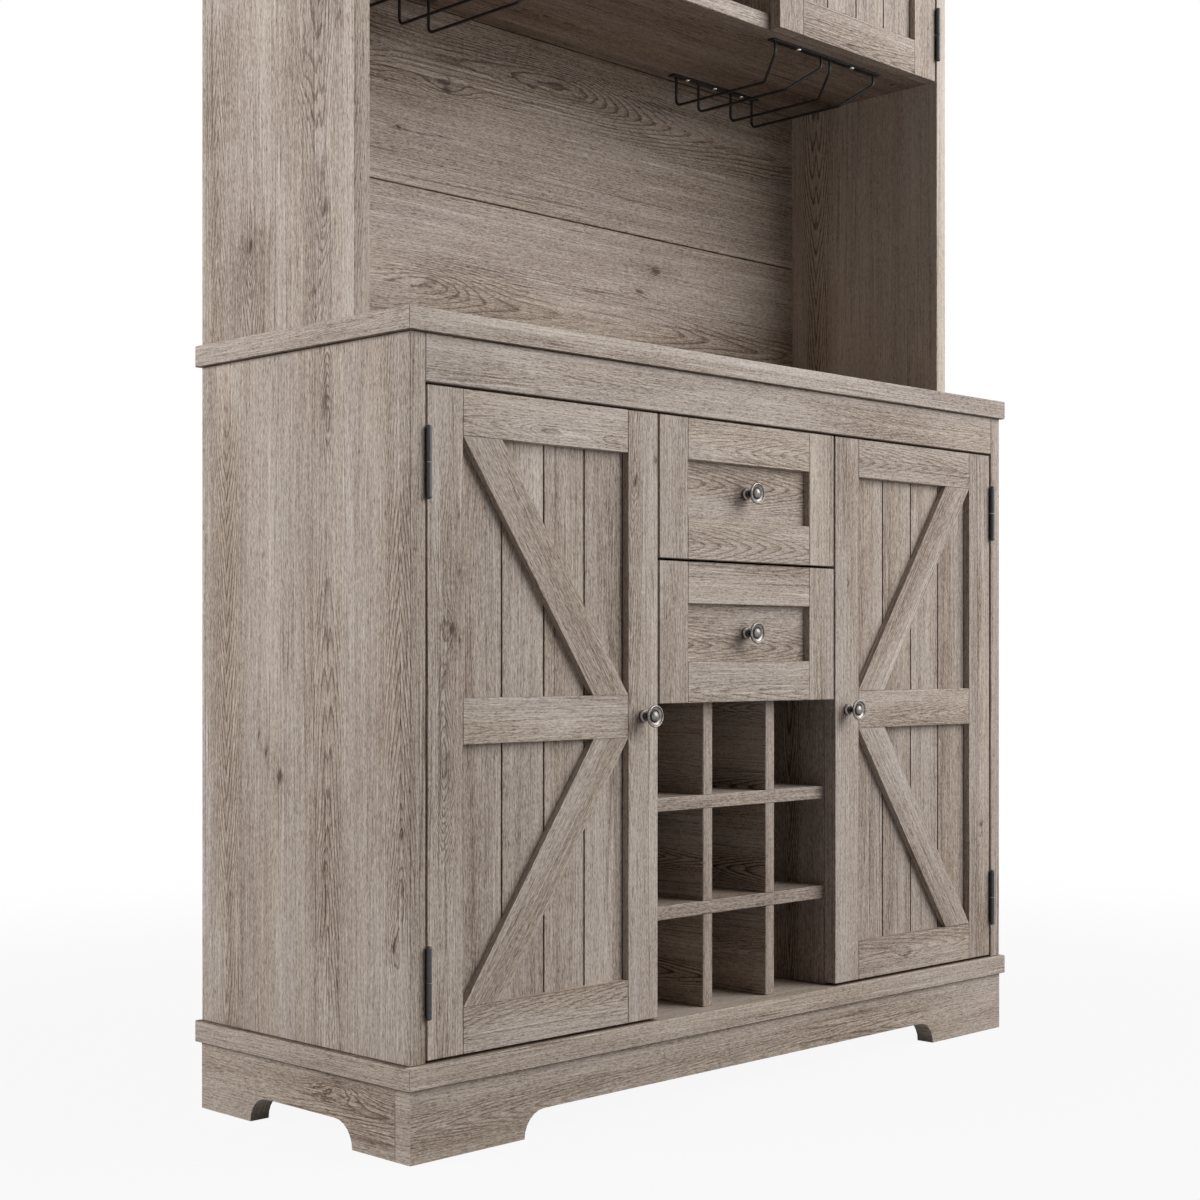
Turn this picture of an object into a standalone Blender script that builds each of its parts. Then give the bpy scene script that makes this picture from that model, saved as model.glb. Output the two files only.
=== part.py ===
# Coffee bar cabinet with a hutch: a plank-door base with two drawers and a wine
# rack, and an upper cupboard over an open serving bay with two wire glass racks.
# Metres. X runs to the right, Y to the back, Z up. The origin is on the floor,
# in the middle of the whole cabinet's width and depth.

from math import cos, pi, radians, sin, sqrt

import bmesh
import bpy
from mathutils import Matrix, Vector

# Case
CASE_WIDTH = 1.118
CASE_DEPTH = 0.390
BOARD_THICKNESS = 0.0254
BOARD_OVERHANG = 0.006
SIDE_THICKNESS = 0.0215
PARTITION_THICKNESS = 0.018
CENTRE_BAY_WIDTH = 0.345
BACK_THICKNESS = 0.016
BACK_SETIN = 0.0022
TOP_RAIL_HEIGHT = 0.0523
TOP_RAIL_THICKNESS = 0.018
ARRIS = 0.0008
JOINT = 0.0003

# Plinth, with an arch between quarter-round feet
PLINTH_HEIGHT = 0.080
PLINTH_THICKNESS = 0.026
FRONT_FOOT_LENGTH = 0.1665
SIDE_FOOT_LENGTH = 0.0995
ARCH_RISE = 0.0305
ARCH_STEPS = 6

# Hutch
HUTCH_SETBACK = 0.095
HUTCH_BAY_HEIGHT = 0.4841
HUTCH_BOTTOM_THICKNESS = 0.022
BACK_PLANK_HEIGHT = 0.2422
BACK_GROOVE_WIDTH = 0.003
BACK_GROOVE_DEPTH = 0.002

# Doors and drawer fronts: framed, with a panel held in grooves
UPPER_DOOR_HEIGHT = 0.3479
DRAWER_FRONT_HEIGHT = 0.1731
FRONT_THICKNESS = 0.018
FRONT_SETBACK = 0.001
FRONT_BACK_GAP = 0.001
FRAME_WIDTH = 0.051
PANEL_RECESS = 0.009
PANEL_THICKNESS = 0.006
PANEL_GROOVE_DEPTH = 0.008
PANEL_FLOAT = 0.0005
DOOR_SIDE_GAP = 0.0032
DOOR_END_GAP = 0.0031
DRAWER_SIDE_GAP = 0.0035
PLANK_COUNT = 4
PLANK_GROOVE_WIDTH = 0.0026
PLANK_GROOVE_DEPTH = 0.002
BRACE_CUT_WIDTH = 0.058

# Lift-off butt hinges
HINGE_LENGTH = 0.080
HINGE_LEAF_WIDTH = 0.016
HINGE_LEAF_PLAY = 0.0004
HINGE_LEAF_BED = 0.0006
BARREL_RADIUS = 0.0032
BARREL_CAP_RADIUS = 0.0035
BARREL_CAP_HEIGHT = 0.003
PIN_RADIUS = 0.0015
PIN_RUNNING_PLAY = 0.0001
PIN_ENGAGEMENT = 0.030
LOWER_HINGE_INSET = 0.084
UPPER_HINGE_INSET = 0.0695
HINGE_STEPS = 12

# Knobs
KNOB_RADIUS = 0.0135
KNOB_LENGTH = 0.0225
KNOB_STEPS = 18
KNOB_PROFILE_SHARES = (
    (0.00, 1.000),
    (0.24, 0.985),
    (0.42, 0.925),
    (0.54, 0.830),
    (0.60, 0.780),
    (0.74, 0.765),
    (0.82, 0.835),
    (0.91, 0.870),
    (1.00, 0.815),
    (0.97, 0.745),
    (0.62, 0.640),
    (0.34, 0.540),
    (0.24, 0.420),
    (0.25, 0.220),
    (0.42, 0.130),
    (0.48, 0.070),
    (0.48, 0.000),
    (0.00, 0.000),
)

# Wine rack: shelves and dividers, halved into each other
RACK_CELL_HEIGHT = 0.1157
RACK_ROW_COUNT = 3
RACK_COLUMN_COUNT = 3
RACK_SHELF_THICKNESS = 0.0168
RACK_DIVIDER_THICKNESS = 0.0174
DRAWER_FLOOR_THICKNESS = 0.0168

# Drawers, hung by grooves in their sides on strips housed in the partitions
DRAWER_BOX_LIFT = 0.024
DRAWER_BOX_HEADROOM = 0.0291
DRAWER_BACK_CLEARANCE = 0.0225
DRAWER_WALL_THICKNESS = 0.015
DRAWER_BOX_PLAY = 0.0015
DRAWER_BOTTOM_THICKNESS = 0.005
RUNNER_HEIGHT = 0.016
RUNNER_REACH = 0.0092
RUNNER_HOUSING = 0.004
RUNNER_SIDE_PLAY = 0.0008
RUNNER_LIFT_PLAY = 0.0006
RUNNER_FRONT_STOP = 0.020

# Adjustable shelves on pins
SHELF_THICKNESS = 0.016
SHELF_SIDE_PLAY = 0.001
SHELF_SETBACK = 0.012
SHELF_BACK_PLAY = 0.004
PIN_PEG_RADIUS = 0.0025
PIN_PEG_SEAT = 0.008
PIN_PEG_REACH = 0.009
PIN_ROW_INSET = 0.050
PIN_HOLE_PITCH = 0.032
PIN_BED = 0.001
PIN_SIDES = 10

# Wire glass racks under the hutch
GLASS_RACK_SIDE_INSET = 0.2135
GLASS_RACK_FRONT_INSET = 0.042
GLASS_RACK_REAR_INSET = 0.0238
SLOT_SPACING = 0.122
SLOT_WIDTH = 0.049
MOUTH_WIDTH = 0.102
MOUTH_LENGTH = 0.042
MOUTH_DROP = 0.0173
WIRE_DROP = 0.045
WIRE_RADIUS = 0.002
WIRE_BEND_RADIUS = 0.010
WIRE_BEND_STEPS = 3
RACK_BAR_WIDTH = 0.012
RACK_BAR_THICKNESS = 0.0025
RACK_BAR_END = 0.010
WIRE_WELD = 0.0012
SCREW_HOLE_RADIUS = 0.0023
SCREW_HOLE_DEPTH = 0.012
SCREW_SIDES = 10

# How far a cutter runs past what it cuts
OVERRUN = 0.004

# Finishes: base colour, roughness and metallic value
FINISHES = {
    "oak": ((0.37, 0.31, 0.27), 0.62, 0.0),
    "oak_inner": ((0.33, 0.28, 0.24), 0.66, 0.0),
    "black_metal": ((0.045, 0.045, 0.048), 0.42, 0.9),
    "pewter": ((0.40, 0.38, 0.35), 0.34, 1.0),
}

# Levels and planes that follow from the sizes
KNOB_TIP_REACH = KNOB_LENGTH + JOINT - FRONT_SETBACK
CASE_FRONT_Y = (KNOB_TIP_REACH - CASE_DEPTH - BOARD_OVERHANG) / 2
CASE_BACK_Y = CASE_FRONT_Y + CASE_DEPTH
HUTCH_FRONT_Y = CASE_FRONT_Y + HUTCH_SETBACK
HALF_WIDTH = CASE_WIDTH / 2
INNER_X = HALF_WIDTH - SIDE_THICKNESS
HALF_BAY = CENTRE_BAY_WIDTH / 2
PARTITION_OUTER_X = HALF_BAY + PARTITION_THICKNESS
BACK_FACE_Y = CASE_BACK_Y - BACK_SETIN - BACK_THICKNESS
FRONT_ZONE = FRONT_SETBACK + FRONT_THICKNESS + FRONT_BACK_GAP
BASE_FLOOR_Z = PLINTH_HEIGHT + BOARD_THICKNESS
RACK_ROW_PITCH = RACK_CELL_HEIGHT + RACK_SHELF_THICKNESS
RACK_TOP_Z = BASE_FLOOR_Z + RACK_ROW_COUNT * RACK_ROW_PITCH - RACK_SHELF_THICKNESS
RACK_CLEAR_WIDTH = CENTRE_BAY_WIDTH - (RACK_COLUMN_COUNT - 1) * RACK_DIVIDER_THICKNESS
RACK_COLUMN_PITCH = RACK_CLEAR_WIDTH / RACK_COLUMN_COUNT + RACK_DIVIDER_THICKNESS
DRAWER_PITCH = DRAWER_FRONT_HEIGHT + DOOR_END_GAP
DRAWER_FRONT_ZS = (RACK_TOP_Z, RACK_TOP_Z + DRAWER_PITCH)
DRAWER_BOX_HEIGHT = DRAWER_FRONT_HEIGHT - DRAWER_BOX_LIFT - DRAWER_BOX_HEADROOM
DRAWER_BOX_FRONT_Y = CASE_FRONT_Y + FRONT_SETBACK + FRONT_THICKNESS + JOINT
DRAWER_BOX_BACK_Y = BACK_FACE_Y - DRAWER_BACK_CLEARANCE
RAIL_UNDERSIDE_Z = RACK_TOP_Z + len(DRAWER_FRONT_ZS) * DRAWER_PITCH
CASE_TOP_Z = RAIL_UNDERSIDE_Z + TOP_RAIL_HEIGHT
COUNTER_Z = CASE_TOP_Z + BOARD_THICKNESS
LOWER_DOOR_BOTTOM_Z = BASE_FLOOR_Z + DOOR_END_GAP
LOWER_DOOR_TOP_Z = RAIL_UNDERSIDE_Z - DOOR_END_GAP
HUTCH_UNDERSIDE_Z = COUNTER_Z + HUTCH_BAY_HEIGHT
HUTCH_FLOOR_Z = HUTCH_UNDERSIDE_Z + HUTCH_BOTTOM_THICKNESS
UPPER_DOOR_TOP_Z = HUTCH_UNDERSIDE_Z + UPPER_DOOR_HEIGHT
HUTCH_TOP_Z = UPPER_DOOR_TOP_Z + DOOR_END_GAP + TOP_RAIL_HEIGHT
GLASS_RACK_CENTRE_X = INNER_X - GLASS_RACK_SIDE_INSET
GLASS_RACK_FRONT_Y = HUTCH_FRONT_Y + GLASS_RACK_FRONT_INSET
GLASS_RACK_REAR_Y = BACK_FACE_Y - GLASS_RACK_REAR_INSET
HINGE_REACH = sqrt((BARREL_CAP_RADIUS + JOINT) ** 2 - (DOOR_SIDE_GAP / 2) ** 2)
HINGE_X = INNER_X - DOOR_SIDE_GAP / 2
LEAF_THICKNESS = (DOOR_SIDE_GAP - HINGE_LEAF_PLAY) / 2 - JOINT
SHELF_FRONT_Y = CASE_FRONT_Y + FRONT_ZONE + SHELF_SETBACK
SHELF_BACK_Y = BACK_FACE_Y - SHELF_BACK_PLAY
SHELF_Z = (BASE_FLOOR_Z + CASE_TOP_Z - SHELF_THICKNESS) / 2
PIN_Z = SHELF_Z - PIN_PEG_RADIUS + PIN_BED
SIDES = (("left", -1), ("right", 1))


def clear_scene():
    for thing in list(bpy.data.objects):
        bpy.data.objects.remove(thing, do_unlink=True)


def new_collection(name):
    collection = bpy.data.collections.new(name)
    bpy.context.scene.collection.children.link(collection)
    return collection


clear_scene()
PARTS = new_collection("coffee_bar_cabinet")
CUTTERS = new_collection("cutters")


# Shapes

def box(xs, ys, zs):
    """A closed box as a mesh, from its three spans."""
    spans = [sorted(span) for span in (xs, ys, zs)]
    centre = Vector([(low + high) / 2 for low, high in spans])
    size = [high - low for low, high in spans]
    solid = bmesh.new()
    place = Matrix.Translation(centre) @ Matrix.Diagonal((*size, 1))
    bmesh.ops.create_cube(solid, size=1, matrix=place)
    return to_mesh(solid)


def rod(start, end, radius, sides):
    """A closed cylinder between two points."""
    run = Vector(end) - Vector(start)
    turn = run.to_track_quat("Z", "Y").to_matrix().to_4x4()
    place = Matrix.Translation((Vector(start) + Vector(end)) / 2) @ turn
    solid = bmesh.new()
    bmesh.ops.create_cone(
        solid, cap_ends=True, segments=sides,
        radius1=radius, radius2=radius, depth=run.length, matrix=place,
    )
    return to_mesh(solid)


def to_mesh(solid):
    mesh = bpy.data.meshes.new("solid")
    solid.to_mesh(mesh)
    solid.free()
    return mesh


def joined(meshes):
    """Several closed solids in one mesh."""
    solid = bmesh.new()
    for mesh in meshes:
        solid.from_mesh(mesh)
    return to_mesh(solid)


def moved(mesh, place):
    """A copy of a mesh under a transform, still facing out when mirrored."""
    solid = bmesh.new()
    solid.from_mesh(mesh)
    bmesh.ops.transform(solid, matrix=place, verts=solid.verts)
    if place.determinant() < 0:
        bmesh.ops.reverse_faces(solid, faces=solid.faces)
    return to_mesh(solid)


def evaluated(maker):
    """The mesh of an object with its modifiers, welded, without the object."""
    bpy.context.view_layer.update()
    graph = bpy.context.evaluated_depsgraph_get()
    mesh = bpy.data.meshes.new_from_object(maker.evaluated_get(graph))
    solid = bmesh.new()
    solid.from_mesh(mesh)
    bmesh.ops.remove_doubles(solid, verts=solid.verts, dist=JOINT / 100)
    bmesh.ops.recalc_face_normals(solid, faces=solid.faces)
    bpy.data.objects.remove(maker, do_unlink=True)
    return to_mesh(solid)


def workpiece(mesh):
    piece = bpy.data.objects.new("workpiece", mesh)
    PARTS.objects.link(piece)
    return piece


def cutter(meshes):
    tool = bpy.data.objects.new("cutter", joined(meshes))
    tool.hide_render = True
    tool.display_type = "WIRE"
    CUTTERS.objects.link(tool)
    return tool


def eased(mesh):
    """Takes the arris off every edge of a board."""
    piece = workpiece(mesh)
    arris = piece.modifiers.new("arris", "BEVEL")
    arris.width = ARRIS
    arris.segments = 1
    arris.limit_method = "ANGLE"
    return evaluated(piece)


def board(xs, ys, zs):
    return eased(box(xs, ys, zs))


def worked(mesh, *cuts, operation="DIFFERENCE"):
    """A mesh after its Boolean cuts, each cut a list of solids apart from each other."""
    piece = workpiece(mesh)
    for solids in cuts:
        cut = piece.modifiers.new("cut", "BOOLEAN")
        cut.operation = operation
        cut.solver = "EXACT"
        cut.object = cutter(solids)
    return evaluated(piece)


def outline(points, thickness, place):
    """A flat outline in the XY plane, given a thickness and then placed."""
    curve = bpy.data.curves.new("outline", "CURVE")
    curve.dimensions = "2D"
    curve.fill_mode = "BOTH"
    curve.extrude = thickness / 2
    spline = curve.splines.new("POLY")
    spline.points.add(len(points) - 1)
    for knot, (x, y) in zip(spline.points, points):
        knot.co = (x, y, 0, 1)
    spline.use_cyclic_u = True
    maker = bpy.data.objects.new("outline", curve)
    PARTS.objects.link(maker)
    return moved(evaluated(maker), place)


def turned(profile, steps):
    """A solid of revolution about Z, from a profile that runs down from its top."""
    mesh = bpy.data.meshes.new("profile")
    corners = [(radius, 0, height) for radius, height in profile]
    edges = [(index, index + 1) for index in range(len(corners) - 1)]
    mesh.from_pydata(corners, edges, [])
    maker = workpiece(mesh)
    screw = maker.modifiers.new("turn", "SCREW")
    screw.steps = steps
    screw.render_steps = steps
    screw.use_merge_vertices = True
    screw.merge_threshold = JOINT / 100
    return evaluated(maker)


def wire(points, radius):
    """A round wire along its points, with closed ends."""
    curve = bpy.data.curves.new("wire", "CURVE")
    curve.dimensions = "3D"
    curve.bevel_depth = radius
    curve.bevel_resolution = 2
    curve.use_fill_caps = True
    spline = curve.splines.new("POLY")
    spline.points.add(len(points) - 1)
    for knot, point in zip(spline.points, points):
        knot.co = (*point, 1)
    maker = bpy.data.objects.new("wire", curve)
    PARTS.objects.link(maker)
    return evaluated(maker)


def rounded_path(corners, radius, steps):
    """A path of straight runs with its inner corners rounded."""
    path = [corners[0]]
    for before, corner, after in zip(corners, corners[1:], corners[2:]):
        come = (before - corner).normalized()
        leave = (after - corner).normalized()
        half_turn = (pi - come.angle(leave)) / 2
        setoff = radius * sin(half_turn) / cos(half_turn)
        start = corner + come * setoff
        end = corner + leave * setoff
        for step in range(steps + 1):
            share = step / steps
            path.append(start.lerp(corner, share).lerp(corner.lerp(end, share), share))
    path.append(corners[-1])
    return path


# Placing

def facing_front(y):
    """Puts an outline drawn in X and Z upright, its middle plane at y."""
    return Matrix.Translation((0, y, 0)) @ Matrix.Rotation(pi / 2, 4, "X")


def facing_side(x):
    """Puts an outline drawn in Y and Z upright, its middle plane at x."""
    turn = Matrix.Rotation(pi / 2, 4, "Z") @ Matrix.Rotation(pi / 2, 4, "X")
    return Matrix.Translation((x, 0, 0)) @ turn


def finish(name, kind):
    colour, roughness, metallic = FINISHES[kind]
    material = bpy.data.materials.new(name + "_finish")
    material.use_nodes = True
    shader = material.node_tree.nodes["Principled BSDF"]
    shader.inputs["Base Color"].default_value = (*colour, 1)
    shader.inputs["Roughness"].default_value = roughness
    shader.inputs["Metallic"].default_value = metallic
    material.diffuse_color = (*colour, 1)
    return material


def middle(mesh):
    corners = [corner.co for corner in mesh.vertices]
    low = Vector([min(corner[axis] for corner in corners) for axis in range(3)])
    high = Vector([max(corner[axis] for corner in corners) for axis in range(3)])
    return (low + high) / 2


def add_part(name, mesh, kind, parent=None, smooth=False):
    """Makes one named part of its solid, with its origin at the middle."""
    origin = middle(mesh)
    mesh.transform(Matrix.Translation(-origin))
    mesh.name = name
    mesh.materials.append(finish(name, kind))
    if smooth:
        mesh.shade_smooth()
        mesh.set_sharp_from_angle(angle=radians(40))
    part = bpy.data.objects.new(name, mesh)
    part.location = origin
    if parent:
        part.parent = parent
        part.location = origin - parent.location
    PARTS.objects.link(part)


def joint_axis(name, place):
    axis = bpy.data.objects.new(name, None)
    axis.location = place
    PARTS.objects.link(axis)
    return axis


# Plinth

def arch_outline(start, end, first_foot, last_foot):
    """A board on edge whose lower side is cut to an arch between two feet."""
    top = PLINTH_HEIGHT - JOINT
    first = start + first_foot + ARCH_RISE
    last = end - last_foot - ARCH_RISE
    turns = [pi / 2 * step / ARCH_STEPS for step in range(ARCH_STEPS + 1)]
    points = [(start, 0)]
    points += [(first - ARCH_RISE * cos(turn), ARCH_RISE * sin(turn)) for turn in turns]
    points += [(last + ARCH_RISE * sin(turn), ARCH_RISE * cos(turn)) for turn in turns]
    points += [(end, 0), (end, top), (start, top)]
    return points


def add_plinth():
    points = arch_outline(-HALF_WIDTH, HALF_WIDTH, FRONT_FOOT_LENGTH, FRONT_FOOT_LENGTH)
    place = facing_front(CASE_FRONT_Y + PLINTH_THICKNESS / 2)
    add_part("plinth_front", outline(points, PLINTH_THICKNESS, place), "oak")

    lap = PLINTH_THICKNESS + JOINT
    side_start = CASE_FRONT_Y + lap
    points = arch_outline(side_start, CASE_BACK_Y, SIDE_FOOT_LENGTH - lap, SIDE_FOOT_LENGTH)
    side_x = HALF_WIDTH - PLINTH_THICKNESS / 2
    for side_name, side in SIDES:
        board_mesh = outline(points, PLINTH_THICKNESS, facing_side(side * side_x))
        add_part("plinth_" + side_name, board_mesh, "oak")

    back_end = HALF_WIDTH - lap
    back_foot = FRONT_FOOT_LENGTH - lap
    points = arch_outline(-back_end, back_end, back_foot, back_foot)
    place = facing_front(CASE_BACK_Y - PLINTH_THICKNESS / 2)
    add_part("plinth_back", outline(points, PLINTH_THICKNESS, place), "oak")


# Base

def overhanging_board(z, front_y):
    """A board that stands out past the case on every side."""
    half = HALF_WIDTH + BOARD_OVERHANG
    ys = (front_y - BOARD_OVERHANG, CASE_BACK_Y + BOARD_OVERHANG)
    return board((-half, half), ys, (z, z + BOARD_THICKNESS))


def pin_rows():
    """Where the two rows of shelf pins stand, from front to back."""
    return (SHELF_FRONT_Y + PIN_ROW_INSET, SHELF_BACK_Y - PIN_ROW_INSET)


def pin_holes(face_x, into):
    """Cutters for the pin holes in the face at face_x; into is the way into the wood."""
    radius = PIN_PEG_RADIUS + JOINT
    deep = face_x + into * (PIN_PEG_SEAT + JOINT)
    out = face_x - into * OVERRUN
    heights = [PIN_Z + step * PIN_HOLE_PITCH for step in (-1, 0, 1)]
    return [rod((deep, y, z), (out, y, z), radius, PIN_SIDES) for y in pin_rows() for z in heights]


def add_base_boards():
    add_part("base_board", overhanging_board(PLINTH_HEIGHT, CASE_FRONT_Y), "oak")
    add_part("countertop", overhanging_board(CASE_TOP_Z, CASE_FRONT_Y), "oak")
    inner = INNER_X - JOINT
    rail_ys = (CASE_FRONT_Y, CASE_FRONT_Y + TOP_RAIL_THICKNESS)
    rail_zs = (CASE_TOP_Z - TOP_RAIL_HEIGHT, CASE_TOP_Z - JOINT)
    add_part("base_top_rail", board((-inner, inner), rail_ys, rail_zs), "oak")
    back_ys = (BACK_FACE_Y, BACK_FACE_Y + BACK_THICKNESS)
    back_zs = (BASE_FLOOR_Z + JOINT, CASE_TOP_Z - JOINT)
    add_part("base_back", box((-inner, inner), back_ys, back_zs), "oak_inner")


def add_base_sides():
    """The side panels, drilled for the shelf pins."""
    zs = (BASE_FLOOR_Z + JOINT, CASE_TOP_Z - JOINT)
    for side_name, side in SIDES:
        blank = board((side * INNER_X, side * HALF_WIDTH), (CASE_FRONT_Y, CASE_BACK_Y), zs)
        panel = worked(blank, pin_holes(side * INNER_X, side))
        add_part("base_side_" + side_name, panel, "oak")


def add_base_partitions():
    """Drilled for shelf pins on the outside, with drawer strips on the inside."""
    ys = (CASE_FRONT_Y + FRONT_ZONE, BACK_FACE_Y - JOINT)
    zs = (BASE_FLOOR_Z + JOINT, CASE_TOP_Z - JOINT)
    strip_ys = (DRAWER_BOX_FRONT_Y + RUNNER_FRONT_STOP + JOINT, DRAWER_BOX_BACK_Y)
    for side_name, side in SIDES:
        blank = board((side * HALF_BAY, side * PARTITION_OUTER_X), ys, zs)
        drilled = worked(blank, pin_holes(side * PARTITION_OUTER_X, -side))
        strip_xs = (side * (HALF_BAY - RUNNER_REACH), side * (HALF_BAY + RUNNER_HOUSING))
        strips = []
        for front_z in DRAWER_FRONT_ZS:
            z = runner_z(front_z + DRAWER_BOX_LIFT)
            strips.append(board(strip_xs, strip_ys, (z, z + RUNNER_HEIGHT)))
        panel = worked(drilled, strips, operation="UNION")
        add_part("base_partition_" + side_name, panel, "oak")


def add_drawer_floor():
    inner = HALF_BAY - JOINT
    ys = (CASE_FRONT_Y + FRONT_ZONE, BACK_FACE_Y - JOINT)
    zs = (RACK_TOP_Z, RACK_TOP_Z + DRAWER_FLOOR_THICKNESS)
    add_part("drawer_bay_floor", board((-inner, inner), ys, zs), "oak_inner")


def add_base_shelves():
    """Adjustable shelves, each with its four pins bedded in its underside."""
    near = PARTITION_OUTER_X + SHELF_SIDE_PLAY
    far = INNER_X - SHELF_SIDE_PLAY
    zs = (SHELF_Z, SHELF_Z + SHELF_THICKNESS)
    for side_name, side in SIDES:
        pins = []
        for face_x, into in ((PARTITION_OUTER_X, -1), (INNER_X, 1)):
            seat_x = side * (face_x + into * PIN_PEG_SEAT)
            tip_x = side * (face_x - into * PIN_PEG_REACH)
            for y in pin_rows():
                pins.append(rod((seat_x, y, PIN_Z), (tip_x, y, PIN_Z), PIN_PEG_RADIUS, PIN_SIDES))
        plank = board((side * near, side * far), (SHELF_FRONT_Y, SHELF_BACK_Y), zs)
        shelf = worked(plank, pins, operation="UNION")
        add_part("base_shelf_" + side_name, shelf, "oak_inner")


# Wine rack

def add_wine_rack():
    """Shelves notched from the back and dividers notched from the front."""
    inner = HALF_BAY - JOINT
    front = CASE_FRONT_Y + FRONT_ZONE
    back = BACK_FACE_Y - JOINT
    halfway = (front + back) / 2
    first_x = -HALF_BAY + RACK_COLUMN_PITCH - RACK_DIVIDER_THICKNESS
    divider_xs = [first_x + step * RACK_COLUMN_PITCH for step in range(RACK_COLUMN_COUNT - 1)]
    first_z = BASE_FLOOR_Z + RACK_CELL_HEIGHT
    shelf_zs = [first_z + step * RACK_ROW_PITCH for step in range(RACK_ROW_COUNT - 1)]

    for number, z in enumerate(shelf_zs, 1):
        blank = board((-inner, inner), (front, back), (z, z + RACK_SHELF_THICKNESS))
        slot_ys = (halfway - JOINT, back + OVERRUN)
        slot_zs = (z - OVERRUN, z + RACK_SHELF_THICKNESS + OVERRUN)
        slots = []
        for x in divider_xs:
            slot_xs = (x - JOINT, x + RACK_DIVIDER_THICKNESS + JOINT)
            slots.append(box(slot_xs, slot_ys, slot_zs))
        add_part("rack_shelf_" + str(number), worked(blank, slots), "oak")

    for number, x in enumerate(divider_xs, 1):
        xs = (x, x + RACK_DIVIDER_THICKNESS)
        blank = board(xs, (front, back), (BASE_FLOOR_Z + JOINT, RACK_TOP_Z - JOINT))
        slot_xs = (xs[0] - OVERRUN, xs[1] + OVERRUN)
        slot_ys = (front - OVERRUN, halfway + JOINT)
        slots = [
            box(slot_xs, slot_ys, (z - JOINT, z + RACK_SHELF_THICKNESS + JOINT)) for z in shelf_zs
        ]
        add_part("rack_divider_" + str(number), worked(blank, slots), "oak")


# Hutch

def add_hutch_case():
    inner = INNER_X - JOINT
    side_ys = (HUTCH_FRONT_Y, CASE_BACK_Y)
    side_zs = (COUNTER_Z + JOINT, HUTCH_TOP_Z - JOINT)
    partition_ys = (HUTCH_FRONT_Y + FRONT_ZONE, BACK_FACE_Y - JOINT)
    partition_zs = (HUTCH_FLOOR_Z + JOINT, HUTCH_TOP_Z - JOINT)
    for side_name, side in SIDES:
        panel = board((side * INNER_X, side * HALF_WIDTH), side_ys, side_zs)
        add_part("hutch_side_" + side_name, panel, "oak")
        partition_xs = (side * HALF_BAY, side * PARTITION_OUTER_X)
        partition = board(partition_xs, partition_ys, partition_zs)
        add_part("hutch_partition_" + side_name, partition, "oak")
    rail_ys = (HUTCH_FRONT_Y, HUTCH_FRONT_Y + TOP_RAIL_THICKNESS)
    rail_zs = (HUTCH_TOP_Z - TOP_RAIL_HEIGHT, HUTCH_TOP_Z - JOINT)
    add_part("hutch_top_rail", board((-inner, inner), rail_ys, rail_zs), "oak")
    add_part("hutch_top_board", overhanging_board(HUTCH_TOP_Z, HUTCH_FRONT_Y), "oak")


def add_hutch_back():
    """One panel with a groove between its horizontal planks."""
    low = COUNTER_Z + JOINT
    high = HUTCH_TOP_Z - JOINT
    face = BACK_FACE_Y
    half_groove = BACK_GROOVE_WIDTH / 2
    points = [(face + BACK_THICKNESS, low), (face + BACK_THICKNESS, high), (face, high)]
    plank_count = int((high - low) / BACK_PLANK_HEIGHT)
    for plank in range(plank_count, 0, -1):
        z = COUNTER_Z + plank * BACK_PLANK_HEIGHT
        points.append((face, z + half_groove))
        points.append((face + BACK_GROOVE_DEPTH, z))
        points.append((face, z - half_groove))
    points.append((face, low))
    width = 2 * (INNER_X - JOINT)
    add_part("hutch_back", outline(points, width, facing_side(0)), "oak")


def screw_holes(rack_x, bottom_z):
    """Cutters for a glass rack's screws: two in its front bar, three in its rear one."""
    top_z = HUTCH_UNDERSIDE_Z + SCREW_HOLE_DEPTH
    slots = (rack_x - SLOT_SPACING / 2, rack_x + SLOT_SPACING / 2)
    places = [(x, y) for x in slots for y in (GLASS_RACK_FRONT_Y, GLASS_RACK_REAR_Y)]
    places.append((rack_x, GLASS_RACK_REAR_Y))
    return [rod((x, y, bottom_z), (x, y, top_z), SCREW_HOLE_RADIUS, SCREW_SIDES) for x, y in places]


def add_hutch_bottom():
    inner = INNER_X - JOINT
    ys = (HUTCH_FRONT_Y + FRONT_ZONE, BACK_FACE_Y - JOINT)
    blank = board((-inner, inner), ys, (HUTCH_UNDERSIDE_Z, HUTCH_FLOOR_Z))
    holes = []
    for _, side in SIDES:
        holes += screw_holes(side * GLASS_RACK_CENTRE_X, HUTCH_UNDERSIDE_Z - OVERRUN)
    add_part("hutch_bottom", worked(blank, holes), "oak")


# Glass racks

def rack_bars(rack_x):
    """The two flat bars that carry the wires, drilled for their screws."""
    bars = []
    top = HUTCH_UNDERSIDE_Z - JOINT
    zs = (top - RACK_BAR_THICKNESS, top)
    for y, gap in ((GLASS_RACK_FRONT_Y, MOUTH_WIDTH), (GLASS_RACK_REAR_Y, SLOT_WIDTH)):
        half = (SLOT_SPACING + gap) / 2 + RACK_BAR_END
        ys = (y - RACK_BAR_WIDTH / 2, y + RACK_BAR_WIDTH / 2)
        bars.append(box((rack_x - half, rack_x + half), ys, zs))
    return worked(joined(bars), screw_holes(rack_x, zs[0] - OVERRUN))


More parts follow.
